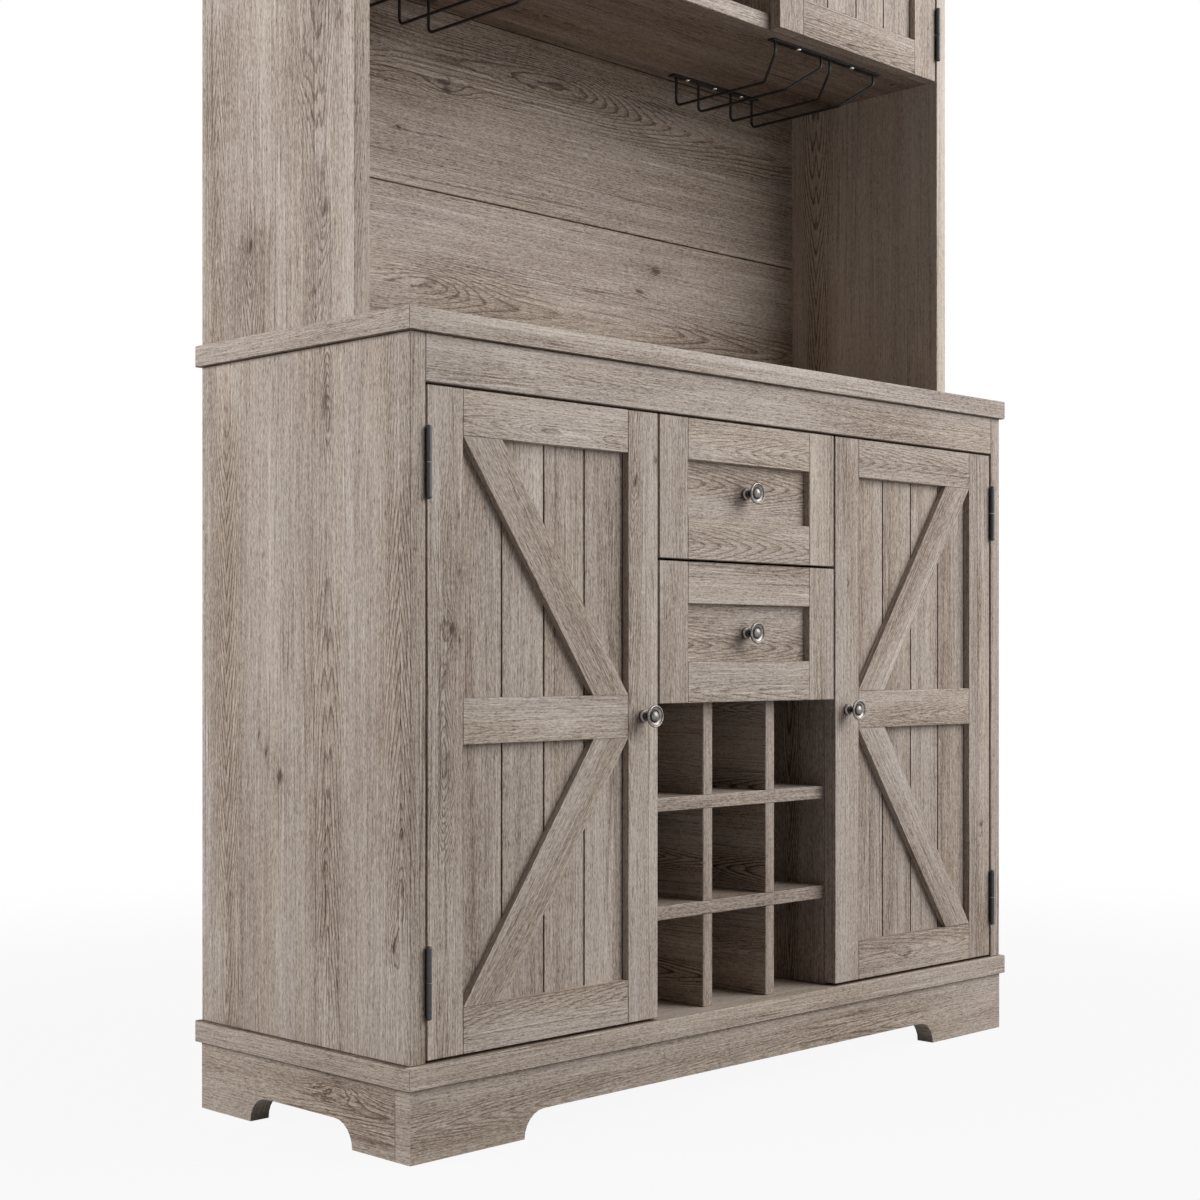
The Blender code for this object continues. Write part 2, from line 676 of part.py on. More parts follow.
def rack_wire(slot_x, side):
    """One wire: down from the front bar, in to the slot, back, and up to the rear bar."""
    mouth_x = slot_x + side * MOUTH_WIDTH / 2
    wire_x = slot_x + side * SLOT_WIDTH / 2
    front = GLASS_RACK_FRONT_Y
    rear = GLASS_RACK_REAR_Y
    weld_z = HUTCH_UNDERSIDE_Z - JOINT - RACK_BAR_THICKNESS + WIRE_WELD
    low_z = HUTCH_UNDERSIDE_Z - WIRE_DROP
    corners = [
        Vector((mouth_x, front, weld_z)),
        Vector((mouth_x, front, HUTCH_UNDERSIDE_Z - MOUTH_DROP)),
        Vector((wire_x, front + MOUTH_LENGTH, low_z)),
        Vector((wire_x, rear, low_z)),
        Vector((wire_x, rear, weld_z)),
    ]
    return wire(rounded_path(corners, WIRE_BEND_RADIUS, WIRE_BEND_STEPS), WIRE_RADIUS)


def add_glass_racks():
    for side_name, side in SIDES:
        rack_x = side * GLASS_RACK_CENTRE_X
        wires = []
        for slot_x in (rack_x - SLOT_SPACING / 2, rack_x + SLOT_SPACING / 2):
            wires += [rack_wire(slot_x, way) for way in (-1, 1)]
        rack = worked(rack_bars(rack_x), wires, operation="UNION")
        add_part("glass_rack_" + side_name, rack, "black_metal", smooth=True)


# Framed doors and drawer fronts

def frame_ring(xs, zs, front_y):
    """Two stiles and two rails glued up, grooved round the inside for the panel."""
    ys = (front_y, front_y + FRONT_THICKNESS)
    panel_y = front_y + PANEL_RECESS
    opening_xs = (xs[0] + FRAME_WIDTH, xs[1] - FRAME_WIDTH)
    opening_zs = (zs[0] + FRAME_WIDTH, zs[1] - FRAME_WIDTH)
    through = box(opening_xs, (ys[0] - OVERRUN, ys[1] + OVERRUN), opening_zs)
    groove = box(
        (opening_xs[0] - PANEL_GROOVE_DEPTH, opening_xs[1] + PANEL_GROOVE_DEPTH),
        (panel_y - JOINT, panel_y + PANEL_THICKNESS + JOINT),
        (opening_zs[0] - PANEL_GROOVE_DEPTH, opening_zs[1] + PANEL_GROOVE_DEPTH),
    )
    return worked(board(xs, ys, zs), [through], [groove])


def grooved_panel(xs, zs, front_y, planks):
    """The panel held in a frame's groove, its face grooved into equal planks."""
    hidden_edge = PANEL_GROOVE_DEPTH - PANEL_FLOAT
    opening_left = xs[0] + FRAME_WIDTH
    opening_right = xs[1] - FRAME_WIDTH
    left = opening_left - hidden_edge
    right = opening_right + hidden_edge
    face_y = front_y + PANEL_RECESS
    back_y = face_y + PANEL_THICKNESS
    points = [(left, face_y)]
    for seam in range(1, planks):
        x = opening_left + (opening_right - opening_left) * seam / planks
        points.append((x - PLANK_GROOVE_WIDTH / 2, face_y))
        points.append((x, face_y + PLANK_GROOVE_DEPTH))
        points.append((x + PLANK_GROOVE_WIDTH / 2, face_y))
    points += [(right, face_y), (right, back_y), (left, back_y)]
    height = zs[1] - zs[0] - 2 * (FRAME_WIDTH - hidden_edge)
    place = Matrix.Translation((0, 0, (zs[0] + zs[1]) / 2))
    return outline(points, height, place)


def brace_trim(xs, zs, front_y, side):
    """A middle rail and two slanting braces in one flat piece, level with the frame.

    The braces run from the rail's free-edge end to the corners at the hinges.
    """
    free = side * (min(abs(x) for x in xs) + FRAME_WIDTH + JOINT)
    hinged = side * (max(abs(x) for x in xs) - FRAME_WIDTH - JOINT)
    low = zs[0] + FRAME_WIDTH + JOINT
    high = zs[1] - FRAME_WIDTH - JOINT
    rail_low = (zs[0] + zs[1] - FRAME_WIDTH) / 2
    rail_high = rail_low + FRAME_WIDTH
    cut = side * BRACE_CUT_WIDTH
    points = [
        (hinged, high), (hinged - cut, high), (free, rail_high), (free, rail_low),
        (hinged - cut, low), (hinged, low), (free + cut, rail_low), (hinged, rail_low),
        (hinged, rail_high), (free + cut, rail_high),
    ]
    thickness = PANEL_RECESS - JOINT
    return outline(points, thickness, facing_front(front_y + thickness / 2))


def knob(seat_x, seat_y, seat_z):
    """A turned knob: small foot, narrow neck, dished ring and raised centre."""
    profile = [(KNOB_RADIUS * r, KNOB_LENGTH * z) for r, z in KNOB_PROFILE_SHARES]
    place = Matrix.Translation((seat_x, seat_y - JOINT, seat_z)) @ Matrix.Rotation(pi / 2, 4, "X")
    return moved(turned(profile, KNOB_STEPS), place)


# Hinges

def lower_knuckle():
    """The lower half of a barrel, with the pin that stands up from it."""
    half = HINGE_LENGTH / 2
    shoulder = half - BARREL_CAP_HEIGHT
    profile = [
        (0, PIN_ENGAGEMENT), (PIN_RADIUS, PIN_ENGAGEMENT), (PIN_RADIUS, -JOINT / 2),
        (BARREL_RADIUS, -JOINT / 2), (BARREL_RADIUS, -shoulder),
        (BARREL_CAP_RADIUS, -shoulder), (BARREL_CAP_RADIUS, -half + BARREL_CAP_HEIGHT / 2),
        (BARREL_RADIUS / 2, -half), (0, -half),
    ]
    return turned(profile, HINGE_STEPS)


def upper_knuckle():
    """The upper half of a barrel, bored to drop over the pin."""
    half = HINGE_LENGTH / 2
    shoulder = half - BARREL_CAP_HEIGHT
    bore = (PIN_RADIUS + PIN_RUNNING_PLAY) / cos(pi / HINGE_STEPS)
    profile = [
        (0, half), (BARREL_RADIUS / 2, half), (BARREL_CAP_RADIUS, half - BARREL_CAP_HEIGHT / 2),
        (BARREL_CAP_RADIUS, shoulder), (BARREL_RADIUS, shoulder),
        (BARREL_RADIUS, JOINT / 2), (bore, JOINT / 2), (bore, PIN_ENGAGEMENT + JOINT),
        (0, PIN_ENGAGEMENT + JOINT),
    ]
    return turned(profile, HINGE_STEPS)


def hinge_leaf(knuckle, way, thickness):
    """A knuckle joined to its plate, which lies on the +X side; way is 1 for the upper half."""
    half = way * (HINGE_LENGTH / 2 - BARREL_CAP_HEIGHT - JOINT)
    root = (PIN_RADIUS + BARREL_RADIUS) / 2
    clear = BARREL_CAP_RADIUS + 2 * JOINT
    edge = HINGE_REACH + HINGE_LEAF_WIDTH
    points = [
        (clear, -half), (edge, -half), (edge, half),
        (root, half), (root, way * JOINT), (clear, way * JOINT),
    ]
    plate = outline(points, thickness, facing_side((HINGE_LEAF_PLAY + thickness) / 2))
    return worked(knuckle, [plate], operation="UNION")


def at_hinge(side, case_front_y, z, flip):
    """Places a leaf at a hinge; flip turns its plate to the other side."""
    mirror = Matrix.Diagonal((flip, 1, 1, 1))
    return Matrix.Translation((side * HINGE_X, case_front_y - HINGE_REACH, z)) @ mirror


# Doors

def add_door(name, side, zs, case_front_y, braced):
    """A plank door with the moving hinge leaves on its edge; side is -1 for the left."""
    front_y = case_front_y + FRONT_SETBACK
    axis = joint_axis(name + "_axis", (side * HINGE_X, case_front_y - HINGE_REACH, zs[0]))
    xs = sorted((side * (INNER_X - DOOR_SIDE_GAP), side * HALF_BAY))
    inset = LOWER_HINGE_INSET if braced else UPPER_HINGE_INSET
    hinge_zs = (zs[0] + inset, zs[1] - inset)

    bedded_thickness = (DOOR_SIDE_GAP - HINGE_LEAF_PLAY) / 2 + HINGE_LEAF_BED
    door_leaf = hinge_leaf(upper_knuckle(), 1, bedded_thickness)
    leaves = [moved(door_leaf, at_hinge(side, case_front_y, z, -side)) for z in hinge_zs]
    frame = worked(frame_ring(xs, zs, front_y), leaves, operation="UNION")
    add_part(name + "_frame", frame, "oak", axis)
    add_part(name + "_panel", grooved_panel(xs, zs, front_y, PLANK_COUNT), "oak", axis)
    if braced:
        add_part(name + "_braces", brace_trim(xs, zs, front_y, side), "oak", axis)
    knob_x = side * (HALF_BAY + FRAME_WIDTH / 2)
    turned_knob = knob(knob_x, front_y, (zs[0] + zs[1]) / 2)
    add_part(name + "_knob", turned_knob, "pewter", axis, smooth=True)

    case_leaf = hinge_leaf(lower_knuckle(), -1, LEAF_THICKNESS)
    for place_name, z in zip(("bottom", "top"), hinge_zs):
        leaf = moved(case_leaf, at_hinge(side, case_front_y, z, side))
        add_part(name + "_" + place_name + "_hinge", leaf, "black_metal", smooth=True)


def add_doors():
    lower_zs = (LOWER_DOOR_BOTTOM_Z, LOWER_DOOR_TOP_Z)
    upper_zs = (HUTCH_UNDERSIDE_Z, UPPER_DOOR_TOP_Z)
    for side_name, side in SIDES:
        add_door("lower_" + side_name + "_door", side, lower_zs, CASE_FRONT_Y, True)
        add_door("upper_" + side_name + "_door", side, upper_zs, HUTCH_FRONT_Y, False)


# Drawers

def runner_z(box_z):
    """The underside of a runner, which lies halfway up a drawer's side."""
    return box_z + (DRAWER_BOX_HEIGHT - RUNNER_HEIGHT) / 2


def drawer_box(box_z):
    """A tray with a groove in each side, open at the back, for its strip."""
    outer = HALF_BAY - DRAWER_BOX_PLAY
    inner = outer - DRAWER_WALL_THICKNESS
    ys = (DRAWER_BOX_FRONT_Y, DRAWER_BOX_BACK_Y)
    zs = (box_z, box_z + DRAWER_BOX_HEIGHT)
    hollow_ys = (ys[0] + DRAWER_WALL_THICKNESS, ys[1] - DRAWER_WALL_THICKNESS)
    hollow = box((-inner, inner), hollow_ys, (box_z + DRAWER_BOTTOM_THICKNESS, zs[1] + OVERRUN))
    z = runner_z(box_z)
    groove_ys = (ys[0] + RUNNER_FRONT_STOP, ys[1] + OVERRUN)
    groove_zs = (z - RUNNER_LIFT_PLAY, z + RUNNER_HEIGHT + JOINT)
    bed = HALF_BAY - RUNNER_REACH - RUNNER_SIDE_PLAY
    cuts = [hollow]
    for _, side in SIDES:
        cuts.append(box((side * bed, side * (outer + OVERRUN)), groove_ys, groove_zs))
    return worked(board((-outer, outer), ys, zs), cuts)


def add_drawer(name, front_z):
    """One drawer, whose front stands at front_z."""
    half = HALF_BAY - DRAWER_SIDE_GAP
    xs = (-half, half)
    zs = (front_z, front_z + DRAWER_FRONT_HEIGHT)
    front_y = CASE_FRONT_Y + FRONT_SETBACK
    slide = joint_axis(name + "_slide", (0, front_y, front_z))
    add_part(name + "_front_frame", frame_ring(xs, zs, front_y), "oak", slide)
    add_part(name + "_front_panel", grooved_panel(xs, zs, front_y, 1), "oak", slide)
    add_part(name + "_box", drawer_box(front_z + DRAWER_BOX_LIFT), "oak_inner", slide)
    turned_knob = knob(0, front_y + PANEL_RECESS, (zs[0] + zs[1]) / 2)
    add_part(name + "_knob", turned_knob, "pewter", slide, smooth=True)


def add_drawers():
    for name, front_z in zip(("lower_drawer", "upper_drawer"), DRAWER_FRONT_ZS):
        add_drawer(name, front_z)


add_plinth()
add_base_boards()
add_base_sides()
add_base_partitions()
add_drawer_floor()
add_base_shelves()
add_wine_rack()
add_hutch_case()
add_hutch_back()
add_hutch_bottom()
add_glass_racks()
add_doors()
add_drawers()
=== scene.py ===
from math import cos, pi, radians, sin
from random import Random

import bmesh
import bpy
from mathutils import Matrix, Vector


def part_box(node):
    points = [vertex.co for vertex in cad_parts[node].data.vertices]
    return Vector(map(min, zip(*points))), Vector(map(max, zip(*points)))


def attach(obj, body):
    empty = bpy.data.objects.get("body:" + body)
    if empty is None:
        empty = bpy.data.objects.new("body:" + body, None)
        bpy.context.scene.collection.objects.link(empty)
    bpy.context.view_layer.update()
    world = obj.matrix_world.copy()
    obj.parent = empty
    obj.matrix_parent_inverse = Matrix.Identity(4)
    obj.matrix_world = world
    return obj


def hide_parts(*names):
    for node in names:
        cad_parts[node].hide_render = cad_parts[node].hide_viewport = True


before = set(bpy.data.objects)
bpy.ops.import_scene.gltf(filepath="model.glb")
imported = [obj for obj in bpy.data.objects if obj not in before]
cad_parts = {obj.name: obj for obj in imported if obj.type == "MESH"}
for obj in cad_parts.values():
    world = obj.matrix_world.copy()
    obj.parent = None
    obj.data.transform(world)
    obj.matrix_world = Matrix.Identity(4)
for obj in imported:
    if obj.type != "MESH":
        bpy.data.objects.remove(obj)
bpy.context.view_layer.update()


# Oak
# Every board is faced in one grey-brown limed oak. Its figure is growth rings cut
# along the log, with open pores, pale lime in the grain and a few dark knots.

def feed(tree, socket, value):
    """Sets an input, or links it where the value comes from another node."""
    if isinstance(value, bpy.types.NodeSocket):
        tree.links.new(value, socket)
    else:
        socket.default_value = value


def node(tree, kind, inputs=(), **settings):
    """A new node, with its settings and with each input set or linked."""
    made = tree.nodes.new(kind)
    for key, value in settings.items():
        setattr(made, key, value)
    for key, value in dict(inputs).items():
        feed(tree, made.inputs[key], value)
    return made


def maths(tree, operation, *values):
    return node(tree, "ShaderNodeMath", enumerate(values), operation=operation).outputs[0]


def plus(tree, first, *others):
    for other in others:
        first = maths(tree, "ADD", first, other)
    return first


def minus(tree, value, less):
    return maths(tree, "SUBTRACT", value, less)


def times(tree, first, *others):
    for other in others:
        first = maths(tree, "MULTIPLY", first, other)
    return first


def over(tree, value, divisor):
    return maths(tree, "DIVIDE", value, divisor)


def highest(tree, first, *others):
    for other in others:
        first = maths(tree, "MAXIMUM", first, other)
    return first


def size_of(tree, value):
    return maths(tree, "ABSOLUTE", value)


def vector_maths(tree, operation, *vectors):
    made = node(tree, "ShaderNodeVectorMath", enumerate(vectors), operation=operation)
    return made.outputs["Value" if operation in ("LENGTH", "DOT_PRODUCT") else "Vector"]


def split(tree, vector):
    """The three parts of a vector."""
    return node(tree, "ShaderNodeSeparateXYZ", (("Vector", vector),)).outputs


def joined(tree, x=0.0, y=0.0, z=0.0):
    return node(tree, "ShaderNodeCombineXYZ", (("X", x), ("Y", y), ("Z", z))).outputs[0]


def mix_colours(tree, share, first, second, **settings):
    inputs = ((0, share), ("A", first), ("B", second))
    return node(tree, "ShaderNodeMix", inputs, data_type="RGBA", **settings).outputs["Result"]


def noise(tree, vector, scale, detail=2.0, roughness=0.5):
    """Smooth noise on stretched coordinates, about 0.5."""
    stretched = vector_maths(tree, "MULTIPLY", vector, scale)
    inputs = (("Vector", stretched), ("Scale", 1.0), ("Detail", detail), ("Roughness", roughness))
    return node(tree, "ShaderNodeTexNoise", inputs).outputs["Fac"]


def between(tree, value, low, high, to_low=0.0, to_high=1.0, smooth=True):
    """Goes from to_low to to_high while the value goes from low to high."""
    inputs = (("Value", value), ("From Min", low), ("From Max", high), ("To Min", to_low), ("To Max", to_high))
    kind = "SMOOTHSTEP" if smooth else "LINEAR"
    return node(tree, "ShaderNodeMapRange", inputs, interpolation_type=kind).outputs["Result"]


def band(tree, value, start, full, fade, end):
    """1 while the value is from full to fade, and 0 before start and after end."""
    return times(tree, between(tree, value, start, full), between(tree, value, end, fade))


def new_effect(name, inputs, outputs):
    """An empty node group with its sockets."""
    group = bpy.data.node_groups.new(name, "ShaderNodeTree")
    for way, sockets in (("INPUT", inputs), ("OUTPUT", outputs)):
        for label, kind in sockets.items():
            group.interface.new_socket(label, in_out=way, socket_type="NodeSocket" + kind)
    return group, group.nodes.new("NodeGroupInput").outputs, group.nodes.new("NodeGroupOutput").inputs


def new_material(name):
    material = bpy.data.materials.new(name)
    material.use_nodes = True
    return material, material.node_tree, material.node_tree.nodes["Principled BSDF"]


def dress(tree, shader, colour, roughness, height, strength, depth):
    """Gives a shader its colour and roughness, and fine relief from a height."""
    bump = node(tree, "ShaderNodeBump", (("Height", height), ("Strength", strength), ("Distance", depth)))
    feed(tree, shader.inputs["Base Color"], colour)
    feed(tree, shader.inputs["Roughness"], roughness)
    feed(tree, shader.inputs["Normal"], bump.outputs["Normal"])


def make_oak_figure():
    """Grain runs along X, the board's face looks along Z; Across is the way to the nearest heart."""
    values = ("Across", "Lift", "Knot", "Figure", "Clear", "Ring", "Spread", "Taper", "Tone", "Warm", "Wear", "Seam")
    group, given, made = new_effect(
        "oak_figure", {"Vector": "Vector", **dict.fromkeys(values, "Float")},
        {"Color": "Color", "Roughness": "Float", "Height": "Float"},
    )
    grain = given["Vector"]

    def lumps(scale, detail=2.0, roughness=0.5):
        """Noise on the grain, about 0."""
        return minus(group, noise(group, grain, scale, detail, roughness), 0.5)

    # the log's rings, cut near its heart: a narrow strip of nested arches with straight legs
    wander = times(group, lumps((2.4, 4.0, 4.0)), 0.034)
    shiver = times(group, lumps((20.0, 150.0, 150.0)), 0.0034)
    aside = over(group, size_of(group, plus(group, given["Across"], wander, shiver)), given["Spread"])
    square = times(group, aside, aside)
    point = maths(group, "SQRT", plus(group, square, 0.03))
    legs = plus(group, times(group, point, 0.75), times(group, square, square, 0.12))
    legs = times(group, legs, over(group, given["Spread"], given["Ring"]))
    slant = times(group, split(group, grain)["X"], given["Taper"])
    arches = plus(group, times(group, lumps((2.2, 3.6, 3.6), 1.2), 6.0), slant)
    ring = maths(group, "FRACT", plus(group, legs, arches, over(group, given["Lift"], given["Ring"])))

    # the rings show in patches near the heart, and round a knot
    patch = times(group, between(group, noise(group, grain, (2.6, 12.0, 12.0), 1.0), 0.40, 0.60), 0.8)
    patch = highest(group, patch, given["Clear"])
    near_heart = between(group, aside, 1.75, 0.75)
    by_knot = between(group, given["Lift"], -0.001, -0.007)
    shown = highest(group, times(group, near_heart, plus(group, times(group, patch, 0.80), 0.20)), by_knot)
    shown = times(group, shown, given["Figure"])
    late = times(group, band(group, ring, 0.55, 0.88, 0.92, 1.0), shown)
    early = times(group, band(group, ring, 0.0, 0.12, 0.2, 0.55), shown)
    shadow = times(group, between(group, aside, 3.0, 0.2), patch)

    # long fine lines of the fibre, dark on one side and pale on the other
    line = noise(group, grain, (1.1, 95.0, 95.0), 1.5)
    lined = between(group, noise(group, grain, (2.2, 26.0, 26.0), 1.0), 0.40, 0.60)
    dark_line = times(group, band(group, line, 0.500, 0.520, 0.520, 0.540), lined)
    pale_line = times(group, band(group, line, 0.460, 0.480, 0.480, 0.500), lined)

    # pores, lime left in the grain, and broader fibre and colour
    dashes = minus(group, noise(group, grain, (85.0, 860.0, 860.0), 1.0), times(group, early, 0.08))
    pore = between(group, dashes, 0.46, 0.34)
    speck = lumps((240.0, 800.0, 800.0), 1.0)
    lime = between(group, noise(group, grain, (12.0, 700.0, 700.0), 1.0), 0.54, 0.68)
    fibre = lumps((6.0, 480.0, 480.0), 2.0, 0.7)
    streak = lumps((1.2, 55.0, 55.0), 3.0, 0.55)
    cloud = lumps((1.5, 10.0, 10.0))

    shade = plus(group, given["Tone"], 0.65)
    for part, share in (
        (late, -0.29), (early, 0.08), (shadow, -0.10), (dark_line, -0.20), (pale_line, 0.13), (pore, -0.15),
        (lime, 0.12), (speck, 0.60), (fibre, 0.44), (streak, 0.30), (cloud, 0.36),
        (given["Knot"], -0.46), (given["Seam"], -0.24), (given["Wear"], 0.08),
    ):
        shade = plus(group, shade, times(group, part, share))
    colour = node(group, "ShaderNodeValToRGB", (("Fac", shade),))
    stops = (
        (0.00, (0.030, 0.018, 0.012)), (0.20, (0.095, 0.063, 0.045)), (0.42, (0.217, 0.166, 0.133)),
        (0.62, (0.378, 0.317, 0.276)), (0.80, (0.520, 0.457, 0.412)), (1.00, (0.660, 0.610, 0.570)),
    )
    ramp = colour.color_ramp.elements
    ramp[0].position, ramp[0].color = stops[0][0], (*stops[0][1], 1)
    ramp[1].position, ramp[1].color = stops[-1][0], (*stops[-1][1], 1)
    for position, wood in stops[1:-1]:
        ramp.new(position).color = (*wood, 1)

    # cooler and warmer patches of the lime
    cool = minus(group, noise(group, grain, (1.4, 17.0, 17.0)), given["Warm"])
    cool = between(group, minus(group, cool, times(group, shadow, 0.20)), 0.16, 0.68)
    tint = mix_colours(group, cool, (1.030, 0.988, 0.915, 1), (0.995, 0.985, 0.975, 1))
    stained = mix_colours(group, 1.0, colour.outputs["Color"], tint, blend_type="MULTIPLY")
    rough = plus(group, times(group, fibre, 0.25), 0.60, times(group, pore, 0.18))
    feed(group, made["Color"], stained)
    feed(group, made["Roughness"], rough)
    feed(group, made["Height"], minus(group, 1.0, plus(group, pore, times(group, late, 0.4))))
    return group


def make_oak_knot():
    """A knot lifts the rings into an eye round it and is dark in its core."""
    group, given, made = new_effect(
        "oak_knot", {"Vector": "Vector", "Centre": "Vector", "Size": "Float", "Dark": "Float", "Stretch": "Float"},
        {"Lift": "Float", "Core": "Float"},
    )
    away = vector_maths(group, "SUBTRACT", given["Vector"], given["Centre"])
    crooked = vector_maths(group, "MULTIPLY", away, (60.0, 160.0, 160.0))
    ragged = node(group, "ShaderNodeTexNoise", (("Vector", crooked), ("Scale", 1.0), ("Detail", 2.0))).outputs["Color"]
    jitter = vector_maths(group, "SUBTRACT", ragged, (0.5, 0.5, 0.5))
    away = vector_maths(group, "ADD", away, vector_maths(group, "MULTIPLY", jitter, (0.012, 0.008, 0.008)))
    eye = vector_maths(group, "MULTIPLY", away, joined(group, given["Stretch"], 1.0, 0.5))
    spread = over(group, vector_maths(group, "LENGTH", eye), given["Size"])
    swell = maths(group, "EXPONENT", times(group, spread, spread, -0.30))
    tight = vector_maths(group, "LENGTH", vector_maths(group, "MULTIPLY", away, (0.62, 1.0, 0.4)))
    core = between(group, over(group, tight, given["Size"]), 0.95, 0.15)
    smoke = between(group, spread, 1.9, 0.2, 0.0, 0.22)
    feed(group, made["Lift"], times(group, swell, given["Size"], -1.9))
    feed(group, made["Core"], times(group, plus(group, core, smoke), given["Dark"]))
    return group


def make_arris_wear():
    """Marks the last millimetre before an edge of a board, where handling pales it, and a dark line at the very edge: a
    dark joint where boards meet, and painted shade in the creases.
    """
    group, given, made = new_effect(
        "arris_wear", {"Vector": "Vector", "Half": "Vector"}, {"Wear": "Float", "Seam": "Float"},
    )
    inside = vector_maths(group, "SUBTRACT", given["Half"], vector_maths(group, "ABSOLUTE", given["Vector"]))
    sides = split(group, inside)
    x, y, z = (sides[axis] for axis in "XYZ")
    from_edge = highest(group, maths(group, "MINIMUM", x, y), maths(group, "MINIMUM", highest(group, x, y), z))
    patchy = between(group, noise(group, given["Vector"], (38.0, 38.0, 38.0)), 0.40, 0.62)
    feed(group, made["Wear"], times(group, between(group, from_edge, 0.0016, 0.0004), patchy))
    # the dark line at the edges: dark joints, and painted shade
    feed(group, made["Seam"], between(group, from_edge, 0.0010, 0.0004))
    return group


OAK_FIGURE = make_oak_figure()
OAK_KNOT = make_oak_knot()
ARRIS_WEAR = make_arris_wear()
AXES = {"x": Vector((1, 0, 0)), "y": Vector((0, 1, 0)), "z": Vector((0, 0, 1))}
LOG_STEP = 0.37
PLANK_STEP_ALONG = 1.73
PLANK_STEP_ACROSS = 1.5
HEART_SPACING = (0.09, 0.15)
HEART_WANDER = 0.7
PLANK_TONES = 0.05
END_FROM_HEART = 0.055
EDGE_FROM_HEART = 0.030
SQUARELY = 0.7


def grain_turn(grain, face):
    """The turn that brings a board's grain to X and its face to Z."""
    along_grain = AXES[grain] if isinstance(grain, str) else Vector(grain).normalized()
    out = AXES[face]
    return Matrix((along_grain, out.cross(along_grain), out))


def facing(tree, coordinates, way):
    return vector_maths(tree, "DOT_PRODUCT", coordinates["Normal"], way)


def looks(tree, cosine):
    """1 where a face looks squarely along a way, by its cosine."""
    return maths(tree, "GREATER_THAN", cosine, SQUARELY)


def from_heart(tree, parts, place):
    return plus(tree, parts["Y"], -place)


def chance_hearts(luck, half_width):
    """Where the hearts lie across a board that gives none: one every 90 to 150 mm."""
    nearest, furthest = HEART_SPACING
    places, place = [], -half_width + luck.uniform(0.1, 0.9) * min(nearest, 2 * half_width)
    while place < half_width:
        places.append(place)
        place += luck.uniform(nearest, furthest)
    return places


def clear_zones(tree, parts, hearts, places, starts):
    """Where the figure is at its clearest: beside the hearts that give a length, for that far either way."""
    zones = []
    for heart, place, start in zip(hearts, places, starts):
        if len(heart) == 4:
            beside = between(tree, size_of(tree, from_heart(tree, parts, place)), 0.050, 0.038)
            along = size_of(tree, plus(tree, parts["X"], -start))
            zones.append(times(tree, between(tree, along, heart[3], 0.6 * heart[3]), beside))
    return highest(tree, *zones) if zones else 0.0


def taper_by_heart(tree, parts, places, tapers):
    """Each heart's arches point their own way; the change falls midway between two hearts."""
    ranked = sorted(zip(places, tapers))
    slant = ranked[0][1]
    for (near, near_taper), (far, far_taper) in zip(ranked, ranked[1:]):
        past = maths(tree, "GREATER_THAN", parts["Y"], (near + far) / 2)
        slant = plus(tree, times(tree, past, far_taper - near_taper), slant)
    return slant


def sapwood(tree, coordinates, height, left, right):
    """A painted highlight on the upper part of a front edge, as a rounded edge would catch the light, fading out at
    both ends.
    """
    spot = split(tree, coordinates["Object"])
    upper = between(tree, spot["Z"], height - 0.0008, height + 0.0008)
    on_front = looks(tree, facing(tree, coordinates, (0, -1, 0)))
    fading = band(tree, spot["X"], left - 0.06, left + 0.06, right - 0.15, right + 0.15)
    return times(tree, upper, on_front, fading, 0.13)


def stain_under_doors(tree, coordinates, front, half_bay):
    """Darkens a top as painted shade where doors stand over it: behind a line, on both sides of the bay."""
    spot = split(tree, coordinates["Object"])
    behind = maths(tree, "GREATER_THAN", spot["Y"], front)
    beside = maths(tree, "GREATER_THAN", size_of(tree, spot["X"]), half_bay)
    return times(tree, behind, beside, looks(tree, facing(tree, coordinates, (0, 0, 1))), -0.35)


def hand_mark(tree, coordinates, place, width, height):
    """A painted shadow of a knob on the wood beside it."""
    away = vector_maths(tree, "SUBTRACT", coordinates["Object"], place)
    away = vector_maths(tree, "MULTIPLY", away, (1 / width, 0, 1 / height))
    return between(tree, vector_maths(tree, "LENGTH", away), 1.0, 0.15, 0.0, -0.09)


